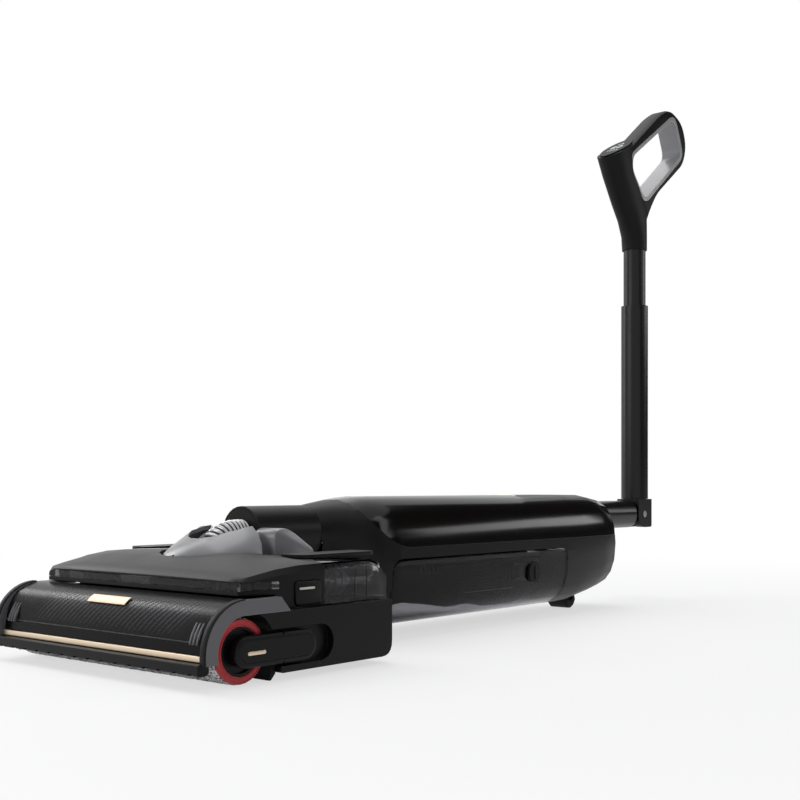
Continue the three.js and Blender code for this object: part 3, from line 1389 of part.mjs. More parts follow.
function handleShell() {
  const trunk = loft(
    trunkStations.map(([rise, wide, front, back, power]) =>
      ovalAcrossZ(handleFoot + handleHeight * rise, wide * handleReach, poleBack + front * handleReach,
        poleBack + back * handleReach, power)),
  );
  const above = outline([
    fromDisplay(-overrun * 4, -displayThickness - gap), fromDisplay(displayLength, -displayThickness - gap),
    fromDisplay(displayLength, handleReach), fromDisplay(-overrun * 4, handleReach),
  ]);
  const half = displayHalfWidth + overrun;
  let made = trunk.subtract(across(above, -half, half));
  made = made.add(acrossRounded(loopOutline, -handleHalf, handleHalf, handleEdge));
  made = made.subtract(across(openingOutline, -half, half));
  for (const side of [-1, 1]) {
    made = made.subtract(across(drawnIn(-rimLand), side > 0 ? handleHalf : -half, side > 0 ? half : -handleHalf));
  }
  const bore = rod(innerRadius + gap, handleFoot - overrun, innerTop + gap);
  made = made.subtract(aboutZ(bore, 0, poleBack));
  for (const [, start] of triggers) {
    const pocket = gripOutline(start - gap, triggerLength + gap * 2, pocketDeep, overrun, 0);
    made = made.subtract(across(pocket, -triggerHalf - gap, triggerHalf + gap));
  }
  for (const [, share] of buttons) {
    made = made.subtract(buttonRod(share, buttonRadius + gap, -buttonDepth - buttonTravel - gap * 2, overrun));
  }
  return largest(made);
}
add(piece("handle_shell", handleShell(), satinBlack));

function loopLiner() {
  const linerHalf = handleHalf + linerProud;
  let made = across(drawnIn(gap), -linerHalf, linerHalf).subtract(
    across(drawnIn(linerBand), -linerHalf - overrun, linerHalf + overrun),
  );
  for (const [, start] of triggers) {
    const passage = gripOutline(start - gap, triggerLength + gap * 2, pocketDeep, overrun * 2, 0);
    made = made.subtract(across(passage, -triggerHalf - gap, triggerHalf + gap));
  }
  return made;
}
add(piece("loop_liner", loopLiner(), softGrey));
for (const [name, start] of triggers) {
  const shape = gripOutline(start, triggerLength, triggerDeep, linerBand + triggerProud, triggerLength / 3);
  add(piece(name, across(shape, -triggerHalf, triggerHalf), softGrey));
}
for (const [name, share] of buttons) {
  add(piece(name, buttonRod(share, buttonRadius, -buttonDepth, buttonProud), softGrey));
}

// Display: a leaf-shaped glass on the trunk's sloping end.
const leafFullness = 0.1;
const glassSolid = loft(
  [0, 1].map((side) => {
    const ring = [];
    for (let i = 0; i < medium; i++) {
      const angle = (i / medium) * 2 * Math.PI;
      const c = Math.cos(angle);
      const runs = (displayLength * (1 + c)) / 2;
      const x = leafHalfWidth * Math.sin(angle) * Math.abs(Math.sin(angle)) ** leafFullness;
      const [y, z] = fromDisplay(runs, side ? 0 : -displayThickness);
      ring.push(new THREE.Vector3(x, y, z));
    }
    return ring;
  }),
);
add(piece("display_glass", glassSolid, glossBlack));

export default scrubber;
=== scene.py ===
# %% [markdown]
# A cordless floor washer that lies flat: a wide roller head at the front, a long glossy body
# behind it, and a pole that folds upright with a loop handle on top. The solids come from CAD
# and stay where they are. Here they get their finishes, and the pieces that CAD keeps simple
# are modelled again: the wet pile on the roller, the ribbed hose, thin trims and the display.

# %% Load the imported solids
import json
import math

import bmesh
import bpy
from mathutils import Matrix, Vector, noise


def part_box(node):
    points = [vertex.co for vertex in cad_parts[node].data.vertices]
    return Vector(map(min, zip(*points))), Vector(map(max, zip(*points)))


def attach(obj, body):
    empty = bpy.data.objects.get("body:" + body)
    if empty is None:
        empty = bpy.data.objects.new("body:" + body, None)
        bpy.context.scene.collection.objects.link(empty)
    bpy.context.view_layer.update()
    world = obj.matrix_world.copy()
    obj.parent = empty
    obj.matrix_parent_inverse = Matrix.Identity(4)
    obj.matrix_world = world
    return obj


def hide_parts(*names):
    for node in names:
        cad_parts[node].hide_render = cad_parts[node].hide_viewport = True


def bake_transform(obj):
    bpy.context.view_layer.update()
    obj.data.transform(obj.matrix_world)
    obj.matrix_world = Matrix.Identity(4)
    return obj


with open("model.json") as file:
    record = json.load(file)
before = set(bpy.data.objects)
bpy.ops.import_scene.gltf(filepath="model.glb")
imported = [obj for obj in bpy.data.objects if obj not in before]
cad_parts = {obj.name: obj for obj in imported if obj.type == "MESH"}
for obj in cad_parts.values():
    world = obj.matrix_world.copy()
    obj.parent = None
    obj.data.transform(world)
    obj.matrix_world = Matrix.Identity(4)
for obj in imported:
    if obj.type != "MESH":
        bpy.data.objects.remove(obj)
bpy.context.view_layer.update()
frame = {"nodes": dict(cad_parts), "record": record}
nodes = frame["nodes"]
print("solids:", len(nodes))

# %% [markdown]
# The camera stands low at the head's corner, almost at floor height, and looks level along the
# body. The lens is a little longer than a normal one. Because the view is level, the horizon
# is moved down with a small vertical shift instead of a tilt, which keeps the pole upright.

# %% Camera
lens_mm = 53.5
sensor_mm = 36.0
view_turn = math.radians(40.3)
camera_data = bpy.data.cameras.new("studio_camera")
camera_data.lens = lens_mm
camera_data.sensor_width = sensor_mm
camera_data.shift_y = 0.108
camera = bpy.data.objects.new("studio_camera", camera_data)
bpy.context.collection.objects.link(camera)
camera.location = (0.7425, -0.9842, 0.1388)
camera.rotation_euler = (math.radians(90), 0, view_turn)
bpy.context.scene.camera = camera
bpy.context.scene.view_settings.view_transform = "Standard"

# %% [markdown]
# A studio for a black object needs large, soft lamps, because black plastic shows its shape
# only by what it mirrors. One broad lamp hangs above, a tall one stands behind the far side to
# draw the edges, and a weak one fills the near side. The world is white to the camera only.

# %% Lamps, floor and white surround
def area_lamp(name, place, target, wide, tall, watts):
    data = bpy.data.lights.new(name, "AREA")
    data.shape = "RECTANGLE"
    data.size = wide
    data.size_y = tall
    data.energy = watts
    lamp = bpy.data.objects.new(name, data)
    bpy.context.collection.objects.link(lamp)
    lamp.location = place
    lamp.rotation_euler = (Vector(target) - Vector(place)).to_track_quat("-Z", "Y").to_euler()
    return lamp


area_lamp("top_lamp", (-0.7, 0.4, 3.0), (0.0, 0.0, 0.1), 1.6, 3.0, 42)
area_lamp("rim_lamp", (-1.7, -0.3, 0.8), (0.0, -0.3, 0.1), 0.5, 1.2, 7)
area_lamp("band_lamp", (1.29, 1.94, 0.76), (0.05, 0.0, 0.1), 1.3, 0.4, 6)
area_lamp("visor_lamp", (-1.8, -0.55, 2.1), (0.0, -0.4, 0.05), 1.5, 0.7, 9)
area_lamp("front_lamp", (-0.7, -2.2, 0.7), (0.0, -0.4, 0.03), 1.2, 0.6, 7)
area_lamp("side_lamp", (1.9, 0.9, 1.5), (0.0, 0.1, 0.1), 0.5, 1.8, 7)

world = bpy.data.worlds.new("white_surround")
bpy.context.scene.world = world
world.use_nodes = True
tree = world.node_tree
tree.nodes.clear()
output = tree.nodes.new("ShaderNodeOutputWorld")
dim = tree.nodes.new("ShaderNodeBackground")
dim.inputs["Color"].default_value = (0.9, 0.92, 0.95, 1)
dim.inputs["Strength"].default_value = 0.3
backdrop = tree.nodes.new("ShaderNodeBackground")
backdrop.inputs["Color"].default_value = (1, 1, 1, 1)
backdrop.inputs["Strength"].default_value = 1.0


def seen_rays(tree):
    """1 for the rays that show the backdrop: to the camera, in a mirror and through glass."""
    path = tree.nodes.new("ShaderNodeLightPath")
    total = path.outputs["Is Camera Ray"]
    for kind in ("Is Glossy Ray", "Is Transmission Ray"):
        joined = tree.nodes.new("ShaderNodeMath")
        joined.operation = "MAXIMUM"
        tree.links.new(total, joined.inputs[0])
        tree.links.new(path.outputs[kind], joined.inputs[1])
        total = joined.outputs[0]
    return total


mix = tree.nodes.new("ShaderNodeMixShader")
tree.links.new(seen_rays(tree), mix.inputs["Fac"])
tree.links.new(dim.outputs["Background"], mix.inputs[1])
tree.links.new(backdrop.outputs["Background"], mix.inputs[2])
tree.links.new(mix.outputs["Shader"], output.inputs["Surface"])


def mesh_object(name, bm, finish=None, smooth=True):
    """An object at the origin from a bmesh, with its place in its mesh."""
    mesh = bpy.data.meshes.new(name)
    bm.to_mesh(mesh)
    bm.free()
    made = bpy.data.objects.new(name, mesh)
    bpy.context.collection.objects.link(made)
    if smooth:
        for face in mesh.polygons:
            face.use_smooth = True
    if finish is not None:
        mesh.materials.append(finish)
    return made


floor_bm = bmesh.new()
floor_half = 12
bmesh.ops.create_grid(floor_bm, x_segments=2, y_segments=2, size=floor_half)
floor = mesh_object("studio_floor", floor_bm, smooth=False)

# %% [markdown]
# A photographer sets dark cards beside a black object, so that its flanks mirror something
# darker than a white room. A smaller lamp or a rougher finish would not do this. The card
# stands behind the near side on part of a circle. Only mirrors see it, so it also takes the
# white background out of that side's reflections, which a plain white room would show there.

# %% Dark card for the near side
card_radius = 3.4
card_height = 4.2
card_first_y = -0.3
card_turn = math.radians(103)
card_bm = bmesh.new()
card_foot = bmesh.ops.create_vert(card_bm, co=(card_radius, card_first_y, 0.0))["vert"]
upright = bmesh.ops.extrude_vert_indiv(card_bm, verts=card_foot)
bmesh.ops.translate(card_bm, verts=upright["verts"], vec=(0, 0, card_height))
bmesh.ops.spin(
    card_bm, geom=upright["edges"], cent=(0, 0, 0), axis=(0, 0, 1),
    angle=card_turn, steps=24, use_merge=False,
)
card = mesh_object("dark_card", card_bm)
card.visible_camera = False
card.visible_diffuse = False
card.visible_transmission = False
card.visible_shadow = False

# %% [markdown]
# Finishes share a few effects, so each effect is one node group. Grain is the fine texture of
# a mould. Handling is the slow change of gloss where fingers and cloths have been. Edges are
# found by comparing the true normal with one rounded over a small radius: the difference is a
# mask of the corners, and the rounded normal gives them a highlight, as a moulded radius does.

# %% Shared effects
def effect(name, inputs, outputs):
    """An empty shader node group with named sockets."""
    made = bpy.data.node_groups.new(name, "ShaderNodeTree")
    for label, value in inputs:
        socket = made.interface.new_socket(label, in_out="INPUT", socket_type="NodeSocketFloat")
        socket.default_value = value
    for label, kind in outputs:
        made.interface.new_socket(label, in_out="OUTPUT", socket_type=kind)
    return made, made.nodes.new("NodeGroupInput"), made.nodes.new("NodeGroupOutput")


def maths(tree, operation, a, b=None, clamp=False):
    """One math node; a and b are sockets or numbers."""
    node = tree.nodes.new("ShaderNodeMath")
    node.operation = operation
    node.use_clamp = clamp
    for place, value in enumerate((a, b)):
        if value is None:
            continue
        if isinstance(value, (int, float)):
            node.inputs[place].default_value = value
        else:
            tree.links.new(value, node.inputs[place])
    return node.outputs[0]


grain, given, result = effect(
    "mould_grain", [("Scale", 3500.0)], [("Height", "NodeSocketFloat")]
)
place = grain.nodes.new("ShaderNodeTexCoord")
speckle = grain.nodes.new("ShaderNodeTexNoise")
speckle.inputs["Detail"].default_value = 2.0
grain.links.new(place.outputs["Object"], speckle.inputs["Vector"])
grain.links.new(given.outputs["Scale"], speckle.inputs["Scale"])
grain.links.new(speckle.outputs["Fac"], result.inputs["Height"])

handling, given, result = effect(
    "handling", [("Scale", 22.0), ("Even", 0.35), ("Spread", 0.1)], [("Roughness", "NodeSocketFloat")]
)
place = handling.nodes.new("ShaderNodeTexCoord")
cloud = handling.nodes.new("ShaderNodeTexNoise")
cloud.inputs["Detail"].default_value = 5.0
handling.links.new(place.outputs["Object"], cloud.inputs["Vector"])
handling.links.new(given.outputs["Scale"], cloud.inputs["Scale"])
offset = maths(handling, "SUBTRACT", cloud.outputs["Fac"], 0.5)
spread = maths(handling, "MULTIPLY", offset, given.outputs["Spread"])
rough = maths(handling, "ADD", spread, given.outputs["Even"], clamp=True)
handling.links.new(rough, result.inputs["Roughness"])

edges, given, result = effect(
    "moulded_edges", [("Radius", 0.0006)], [("Mask", "NodeSocketFloat"), ("Normal", "NodeSocketVector")]
)
rounded = edges.nodes.new("ShaderNodeBevel")
rounded.samples = 6
edges.links.new(given.outputs["Radius"], rounded.inputs["Radius"])
facing = edges.nodes.new("ShaderNodeNewGeometry")
dot = edges.nodes.new("ShaderNodeVectorMath")
dot.operation = "DOT_PRODUCT"
edges.links.new(rounded.outputs["Normal"], dot.inputs[0])
edges.links.new(facing.outputs["Normal"], dot.inputs[1])
turned = maths(edges, "SUBTRACT", 1.0, dot.outputs["Value"])
edges.links.new(maths(edges, "MULTIPLY", turned, 5.0, clamp=True), result.inputs["Mask"])
edges.links.new(rounded.outputs["Normal"], result.inputs["Normal"])


def use(tree, made, **values):
    node = tree.nodes.new("ShaderNodeGroup")
    node.node_tree = made
    for label, value in values.items():
        node.inputs[label].default_value = value
    return node


def linear(code):
    """A hex colour as the linear values that Blender mixes."""
    parts = [int(code[i : i + 2], 16) / 255 for i in (1, 3, 5)]
    return tuple(p / 12.92 if p <= 0.04045 else ((p + 0.055) / 1.055) ** 2.4 for p in parts) + (1.0,)


def plastic(
    name, colour, worn=None, even=0.4, spread=0.12,
    grain_scale=3500.0, depth=0.00002, radius=0.0006, **sockets,
):
    """A moulded or painted finish: colour, worn edges, grain and handled gloss on one shader."""
    finish = bpy.data.materials.new(name)
    finish.use_nodes = True
    tree = finish.node_tree
    shader = tree.nodes["Principled BSDF"]
    edge = use(tree, edges, Radius=radius)
    tint = tree.nodes.new("ShaderNodeMix")
    tint.data_type = "RGBA"
    tint.inputs["A"].default_value = linear(colour)
    tint.inputs["B"].default_value = linear(worn or colour)
    tree.links.new(edge.outputs["Mask"], tint.inputs["Factor"])
    tree.links.new(tint.outputs["Result"], shader.inputs["Base Color"])
    gloss = use(tree, handling, Even=even, Spread=spread)
    tree.links.new(gloss.outputs["Roughness"], shader.inputs["Roughness"])
    fine = use(tree, grain, Scale=grain_scale)
    bump = tree.nodes.new("ShaderNodeBump")
    bump.inputs["Distance"].default_value = depth
    bump.inputs["Strength"].default_value = 0.6
    tree.links.new(fine.outputs["Height"], bump.inputs["Height"])
    tree.links.new(edge.outputs["Normal"], bump.inputs["Normal"])
    tree.links.new(bump.outputs["Normal"], shader.inputs["Normal"])
    for label, value in sockets.items():
        shader.inputs[label.replace("_", " ")].default_value = value
    return finish


# %% [markdown]
# The floor is pale paper that takes the object's shadow. To the camera it also has to run into
# the white backdrop, so it glows white to the rays that show the backdrop: partly beside the
# object, where the shadow has to stay, and fully from just over a metre out.

# %% Paper floor
floor_finish = plastic(
    "studio_paper", "#f7f7f7", even=0.7, spread=0.05,
    depth=0.0001, grain_scale=400.0, radius=0.001,
)
shadow_reach = 0.3
white_reach = 1.3
white_by_the_object = 0.6
tree = floor_finish.node_tree
paper = tree.nodes["Principled BSDF"]
white = tree.nodes.new("ShaderNodeEmission")
white.inputs["Color"].default_value = (1, 1, 1, 1)
place = tree.nodes.new("ShaderNodeTexCoord")
reach = tree.nodes.new("ShaderNodeVectorMath")
reach.operation = "LENGTH"
tree.links.new(place.outputs["Object"], reach.inputs[0])
fade = tree.nodes.new("ShaderNodeMapRange")
fade.interpolation_type = "SMOOTHSTEP"
fade.inputs["From Min"].default_value = shadow_reach
fade.inputs["From Max"].default_value = white_reach
fade.inputs["To Min"].default_value = white_by_the_object
tree.links.new(reach.outputs["Value"], fade.inputs["Value"])
shown = maths(tree, "MULTIPLY", seen_rays(tree), fade.outputs["Result"])
mix = tree.nodes.new("ShaderNodeMixShader")
tree.links.new(shown, mix.inputs["Fac"])
tree.links.new(paper.outputs["BSDF"], mix.inputs[1])
tree.links.new(white.outputs["Emission"], mix.inputs[2])
tree.links.new(mix.outputs["Shader"], tree.nodes["Material Output"].inputs["Surface"])
floor.data.materials.append(floor_finish)
dark_cloth = plastic("dark_cloth", "#101011", even=0.9, spread=0.05, grain_scale=300.0, depth=0.001)
card.data.materials.append(dark_cloth)

# %% [markdown]
# The housings are black, yet no two blacks are the same: the lower shells and the head are
# satin, the top shell is polished and slightly warm, the pole is painted metal, and the
# wheels and blade are dull rubber. The light grey trims frame them. Each finish is one call
# with its own colour, gloss and grain, so a change of one never touches another.

# %% Plain finishes
satin_black = plastic("satin_black", "#0c0c0d", "#1d1d1f", even=0.38, spread=0.1, Specular_IOR_Level=0.16)
gloss_black = plastic(
    "gloss_black", "#0e0c0b", "#241f1c", even=0.16, spread=0.05,
    depth=0.000004, Specular_IOR_Level=0.25,
)
soft_grey = plastic("soft_grey", "#626265", "#848487", even=0.36, spread=0.1, Specular_IOR_Level=0.3)
mid_grey = plastic("mid_grey", "#848487", "#a5a5a8", even=0.26, spread=0.08)
liner_grey = plastic("liner_grey", "#8a8a8d", "#e2e2e4", even=0.3, spread=0.06, radius=0.001)
soft_touch = plastic("soft_touch", "#0e0e0f", "#1f1f21", even=0.52, spread=0.08, Specular_IOR_Level=0.14)
dark_grey = plastic("dark_grey", "#2c2c2f", "#48484b", even=0.36, spread=0.1)
red_rubber = plastic("soft_red", "#b3262b", "#cc4a4a", even=0.45, spread=0.1, depth=0.00004)
rubber = plastic(
    "black_rubber", "#0a0a0b", "#1a1a1b", even=0.6, spread=0.1,
    depth=0.00005, grain_scale=1800.0, Specular_IOR_Level=0.2,
)
paint = plastic(
    "black_metal", "#0b0b0c", "#1f1f21", even=0.3, spread=0.08,
    depth=0.00001, Specular_IOR_Level=0.25,
)
steel = plastic("bright_steel", "#a9a9ad", "#d0d0d4", even=0.28, spread=0.1, Metallic=1.0)
cells = plastic("cell_wrap", "#1f4c7a", "#3d6c9a", even=0.35, spread=0.1)
board = plastic("board_green", "#12512e", "#2f7a4f", even=0.4, spread=0.15)
cream = plastic("cream_grey", "#c9c5bd", "#dedad2", even=0.32, spread=0.1)

# %% Which finish each solid wears
finish_of = {
    "satin_black": satin_black, "gloss_black": gloss_black, "soft_grey": soft_grey, "soft_red": red_rubber,
    "black_rubber": rubber, "bright_steel": steel, "black_metal": paint, "board_green": board,
    "cell_blue": cells, "gold_metal": None, "smoked_clear": None, "grey_pile": None, "silver_hose": None,
    "display_black": None,
}
slot_of = {part["node"]: part["material_slot"] for part in frame["record"]["subparts"]}


def dress(node, finish):
    """Gives a CAD solid a finish in its own material slots."""
    solid = nodes[node]
    for place in solid.material_slots:
        place.material = finish
    if not solid.material_slots:
        solid.data.materials.append(finish)


for node, slot in slot_of.items():
    if finish_of.get(slot):
        dress(node, finish_of[slot])
for node in ("neck_fairing", "yoke_cheek_near", "yoke_cheek_far"):
    dress(node, mid_grey)
dress("loop_liner", liner_grey)
dress("handle_shell", soft_touch)
for node in ("trigger_lower", "trigger_upper"):
    dress(node, cream)

# %% [markdown]
# CAD sends flat triangles, so a curved housing would show its facets in every reflection. A
# small geometry node tree fixes the shading without touching the mesh: it joins the loose
# corners and smooths every edge that turns less than a limit, and leaves real corners sharp.

# %% Soft shading for the solids
shade = bpy.data.node_groups.new("soft_shading", "GeometryNodeTree")
shade.interface.new_socket("Geometry", in_out="INPUT", socket_type="NodeSocketGeometry")
turn_limit = shade.interface.new_socket("Turn", in_out="INPUT", socket_type="NodeSocketFloat")
turn_limit.default_value = math.radians(32)
shade.interface.new_socket("Geometry", in_out="OUTPUT", socket_type="NodeSocketGeometry")
source = shade.nodes.new("NodeGroupInput")
target = shade.nodes.new("NodeGroupOutput")
joined = shade.nodes.new("GeometryNodeMergeByDistance")
joined.inputs["Distance"].default_value = 0.000002
soft = shade.nodes.new("GeometryNodeSetShadeSmooth")
soft.domain = "FACE"
creased = shade.nodes.new("GeometryNodeSetShadeSmooth")
creased.domain = "EDGE"
corner = shade.nodes.new("GeometryNodeInputMeshEdgeAngle")
under = shade.nodes.new("FunctionNodeCompare")
under.operation = "LESS_THAN"
shade.links.new(source.outputs["Geometry"], joined.inputs["Geometry"])
shade.links.new(joined.outputs["Geometry"], soft.inputs["Geometry"])
shade.links.new(soft.outputs["Geometry"], creased.inputs["Geometry"])
shade.links.new(corner.outputs["Unsigned Angle"], under.inputs["A"])
shade.links.new(source.outputs["Turn"], under.inputs["B"])
shade.links.new(under.outputs["Result"], creased.inputs["Shade Smooth"])
shade.links.new(creased.outputs["Geometry"], target.inputs["Geometry"])
for solid in nodes.values():
    modifier = solid.modifiers.new("soft_shading", "NODES")
    modifier.node_group = shade

# %% [markdown]
# The visor, the dirty water tank and the clean water tank are clear plastic with smoke in it.
# Real smoked plastic is a refracting solid, so the shader transmits, with the tint in its base
# colour. It bends light less here than the real one, at an IOR near 1.2 and not 1.5, because
# that keeps its mirror image as faint as in the photograph. The visor's slanting lines are
# worked out from the place across and up, so they lie where the print does.

# %% Smoked clear plastic
def smoked(name, tint, even=0.05, bend=1.25):
    finish = bpy.data.materials.new(name)
    finish.use_nodes = True
    tree = finish.node_tree
    shader = tree.nodes["Principled BSDF"]
    shader.inputs["Transmission Weight"].default_value = 1.0
    shader.inputs["IOR"].default_value = bend
    shader.inputs["Base Color"].default_value = linear(tint)
    gloss = use(tree, handling, Even=even, Spread=0.04)
    tree.links.new(gloss.outputs["Roughness"], shader.inputs["Roughness"])
    return finish


# The print on the visor, as one mask group: a black hem low down with a pale line above it,
# and between them and the top a field of slanting lines that stops short of both ends.
def within(tree, value, low, high, soft=0.0004):
    """1 where a socket lies between two numbers, with a soft edge."""
    rise = tree.nodes.new("ShaderNodeMapRange")
    rise.interpolation_type = "SMOOTHSTEP"
    rise.inputs["From Min"].default_value = low - soft
    rise.inputs["From Max"].default_value = low + soft
    fall = tree.nodes.new("ShaderNodeMapRange")
    fall.interpolation_type = "SMOOTHSTEP"
    fall.inputs["From Min"].default_value = high + soft
    fall.inputs["From Max"].default_value = high - soft
    tree.links.new(value, rise.inputs["Value"])
    tree.links.new(value, fall.inputs["Value"])
    return maths(tree, "MULTIPLY", rise.outputs["Result"], fall.outputs["Result"])


printed, given, result = effect(
    "visor_print", [("Pitch", 0.0055)],
    [("Hem", "NodeSocketFloat"), ("Line", "NodeSocketFloat"), ("Field", "NodeSocketFloat")],
)
place = printed.nodes.new("ShaderNodeTexCoord")
split = printed.nodes.new("ShaderNodeSeparateXYZ")
printed.links.new(place.outputs["Object"], split.inputs["Vector"])
across_x, up_z = split.outputs["X"], split.outputs["Z"]
printed.links.new(within(printed, up_z, 0.0, 0.0312), result.inputs["Hem"])
printed.links.new(within(printed, up_z, 0.0316, 0.0322, 0.0002), result.inputs["Line"])
slant = maths(printed, "ADD", across_x, maths(printed, "MULTIPLY", up_z, -0.95))
phase = maths(printed, "FRACT", maths(printed, "DIVIDE", slant, given.outputs["Pitch"]))
stripe = maths(printed, "ABSOLUTE", maths(printed, "SUBTRACT", phase, 0.5))
streak = maths(printed, "MULTIPLY", maths(printed, "SUBTRACT", 0.32, stripe, clamp=True), 3.2, clamp=True)
ends = within(printed, slant, -0.118, 0.052, 0.012)
rows = within(printed, up_z, 0.034, 0.0555, 0.003)
fade_up = printed.nodes.new("ShaderNodeMapRange")
fade_up.inputs["From Min"].default_value = 0.034
fade_up.inputs["From Max"].default_value = 0.054
fade_up.inputs["To Min"].default_value = 0.15
printed.links.new(up_z, fade_up.inputs["Value"])
streak = maths(printed, "MULTIPLY", streak, fade_up.outputs["Result"])
field = maths(printed, "MULTIPLY", maths(printed, "MULTIPLY", ends, rows), streak)
printed.links.new(field, result.inputs["Field"])

tank_smoke = smoked("smoked_tank", "#a2a2a6")
body_smoke = smoked("smoked_window", "#aeaeb2", bend=1.18)
visor_smoke = smoked("lined_visor", "#606064", even=0.26, bend=1.2)
tree = visor_smoke.node_tree
shader = tree.nodes["Principled BSDF"]
marks = use(tree, printed)
shader.inputs["Transmission Weight"].default_value = 0.8
inked = tree.nodes.new("ShaderNodeMix")
inked.data_type = "RGBA"
inked.inputs["A"].default_value = linear("#2b2b2e")
inked.inputs["B"].default_value = linear("#0d0d0e")
tree.links.new(marks.outputs["Hem"], inked.inputs["Factor"])
lined = tree.nodes.new("ShaderNodeMix")
lined.data_type = "RGBA"
lined.inputs["B"].default_value = linear("#a8a8ab")
tree.links.new(inked.outputs["Result"], lined.inputs["A"])
pale = maths(tree, "ADD", marks.outputs["Line"], marks.outputs["Field"], clamp=True)
tree.links.new(pale, lined.inputs["Factor"])
tree.links.new(lined.outputs["Result"], shader.inputs["Base Color"])
for node in ("tank_lobe_near", "tank_lobe_far"):
    dress(node, tank_smoke)
dress("tank_window", tank_smoke)
dress("clean_tank", body_smoke)
dress("roller_cover", visor_smoke)

# %% [markdown]
# The thin strip along the head's front edge and the small plate on the visor are pale gold
# metal, brushed along their length. The brush marks are noise stretched a hundred times
# along X, which feeds both the gloss and a very shallow bump.

# %% Brushed gold
def brushed(name, colour, along=(4.0, 900.0, 900.0)):
    finish = bpy.data.materials.new(name)
    finish.use_nodes = True
    tree = finish.node_tree
    shader = tree.nodes["Principled BSDF"]
    shader.inputs["Metallic"].default_value = 1.0
    shader.inputs["Base Color"].default_value = linear(colour)
    place = tree.nodes.new("ShaderNodeTexCoord")
    stretch = tree.nodes.new("ShaderNodeMapping")
    stretch.inputs["Scale"].default_value = along
    marks = tree.nodes.new("ShaderNodeTexNoise")
    marks.inputs["Scale"].default_value = 1.0
    marks.inputs["Detail"].default_value = 3.0
    tree.links.new(place.outputs["Object"], stretch.inputs["Vector"])
    tree.links.new(stretch.outputs["Vector"], marks.inputs["Vector"])
    rough = maths(tree, "ADD", maths(tree, "MULTIPLY", marks.outputs["Fac"], 0.2), 0.3)
    tree.links.new(rough, shader.inputs["Roughness"])
    edge = use(tree, edges, Radius=0.0003)
    bump = tree.nodes.new("ShaderNodeBump")
    bump.inputs["Distance"].default_value = 0.00001
    tree.links.new(marks.outputs["Fac"], bump.inputs["Height"])
    tree.links.new(edge.outputs["Normal"], bump.inputs["Normal"])
    tree.links.new(bump.outputs["Normal"], shader.inputs["Normal"])
    return finish


gold = brushed("brushed_gold", "#dfcdb4")
dress("front_strip", gold)
dress("cover_plate", brushed("pale_gold_plate", "#bfa791"))

# %% Display glass
display_glass = plastic(
    "display_glass", "#050506", "#1a1a1c", even=0.5, spread=0.04,
    depth=0.000001, Specular_IOR_Level=0.1,
)
dress("display_glass", display_glass)

# %% [markdown]
# The roller is covered in wet microfibre pile: grey, white and dark yarns in short tufts that
# lie in no order. CAD has only its outer size. Here a fine cylinder is roughened by two sizes
# of noise, cut deeper between the tufts, and coloured with small cells of three greys.

# %% Roller pile
low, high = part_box("roller_pile")
pile_middle = (low + high) / 2
pile_radius = (high.z - low.z) / 2
pile_half = (high.x - low.x) / 2
around = 200
along_steps = 300


def tufted(point):
    """How far the pile stands in from its full size at a point, in metres."""
    coarse = noise.noise(point * 330)
    fine = noise.noise(point * 900 + Vector((7, 3, 1)))
    return 0.0007 * (0.5 - 0.5 * coarse) + 0.0006 * (0.5 - 0.5 * fine)


pile_bm = bmesh.new()
ring = bmesh.ops.create_circle(pile_bm, segments=around, radius=pile_radius)["verts"]
bmesh.ops.rotate(pile_bm, verts=ring, cent=(0, 0, 0), matrix=Matrix.Rotation(math.radians(90), 3, "Y"))
bmesh.ops.translate(pile_bm, verts=ring, vec=(pile_middle.x - pile_half, pile_middle.y, pile_middle.z))
rim = list(pile_bm.edges)
first_rim = list(rim)
step = pile_half * 2 / along_steps
for _ in range(along_steps):
    grown = bmesh.ops.extrude_edge_only(pile_bm, edges=rim)["geom"]
    moved = [item for item in grown if isinstance(item, bmesh.types.BMVert)]
    rim = [item for item in grown if isinstance(item, bmesh.types.BMEdge)]
    bmesh.ops.translate(pile_bm, verts=moved, vec=(step, 0, 0))
bmesh.ops.holes_fill(pile_bm, edges=first_rim + rim)
for vert in pile_bm.verts:
    out = Vector((0, vert.co.y - pile_middle.y, vert.co.z - pile_middle.z))
    out.normalize()
    vert.co -= out * tufted(vert.co)
bmesh.ops.recalc_face_normals(pile_bm, faces=pile_bm.faces)

pile_finish = bpy.data.materials.new("wet_pile")
pile_finish.use_nodes = True
tree = pile_finish.node_tree
shader = tree.nodes["Principled BSDF"]
place = tree.nodes.new("ShaderNodeTexCoord")
yarn = tree.nodes.new("ShaderNodeTexVoronoi")
yarn.inputs["Scale"].default_value = 700.0
ramp = tree.nodes.new("ShaderNodeValToRGB")
ramp.color_ramp.interpolation = "CONSTANT"
ramp.color_ramp.elements[0].color = linear("#4a4a4e")
ramp.color_ramp.elements[1].color = linear("#fafafa")
ramp.color_ramp.elements[1].position = 0.62
middle = ramp.color_ramp.elements.new(0.3)
middle.color = linear("#c4c4c6")
tree.links.new(place.outputs["Object"], yarn.inputs["Vector"])
split = tree.nodes.new("ShaderNodeSeparateColor")
tree.links.new(yarn.outputs["Color"], split.inputs["Color"])
tree.links.new(split.outputs["Red"], ramp.inputs["Fac"])
tree.links.new(ramp.outputs["Color"], shader.inputs["Base Color"])
shader.inputs["Roughness"].default_value = 0.75
bump = tree.nodes.new("ShaderNodeBump")
bump.inputs["Distance"].default_value = 0.0004
tree.links.new(yarn.outputs["Distance"], bump.inputs["Height"])
tree.links.new(bump.outputs["Normal"], shader.inputs["Normal"])
pile = mesh_object("roller_tufts", pile_bm, pile_finish)
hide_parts("roller_pile")
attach(pile, "roller")
print("pile faces:", len(pile.data.polygons))

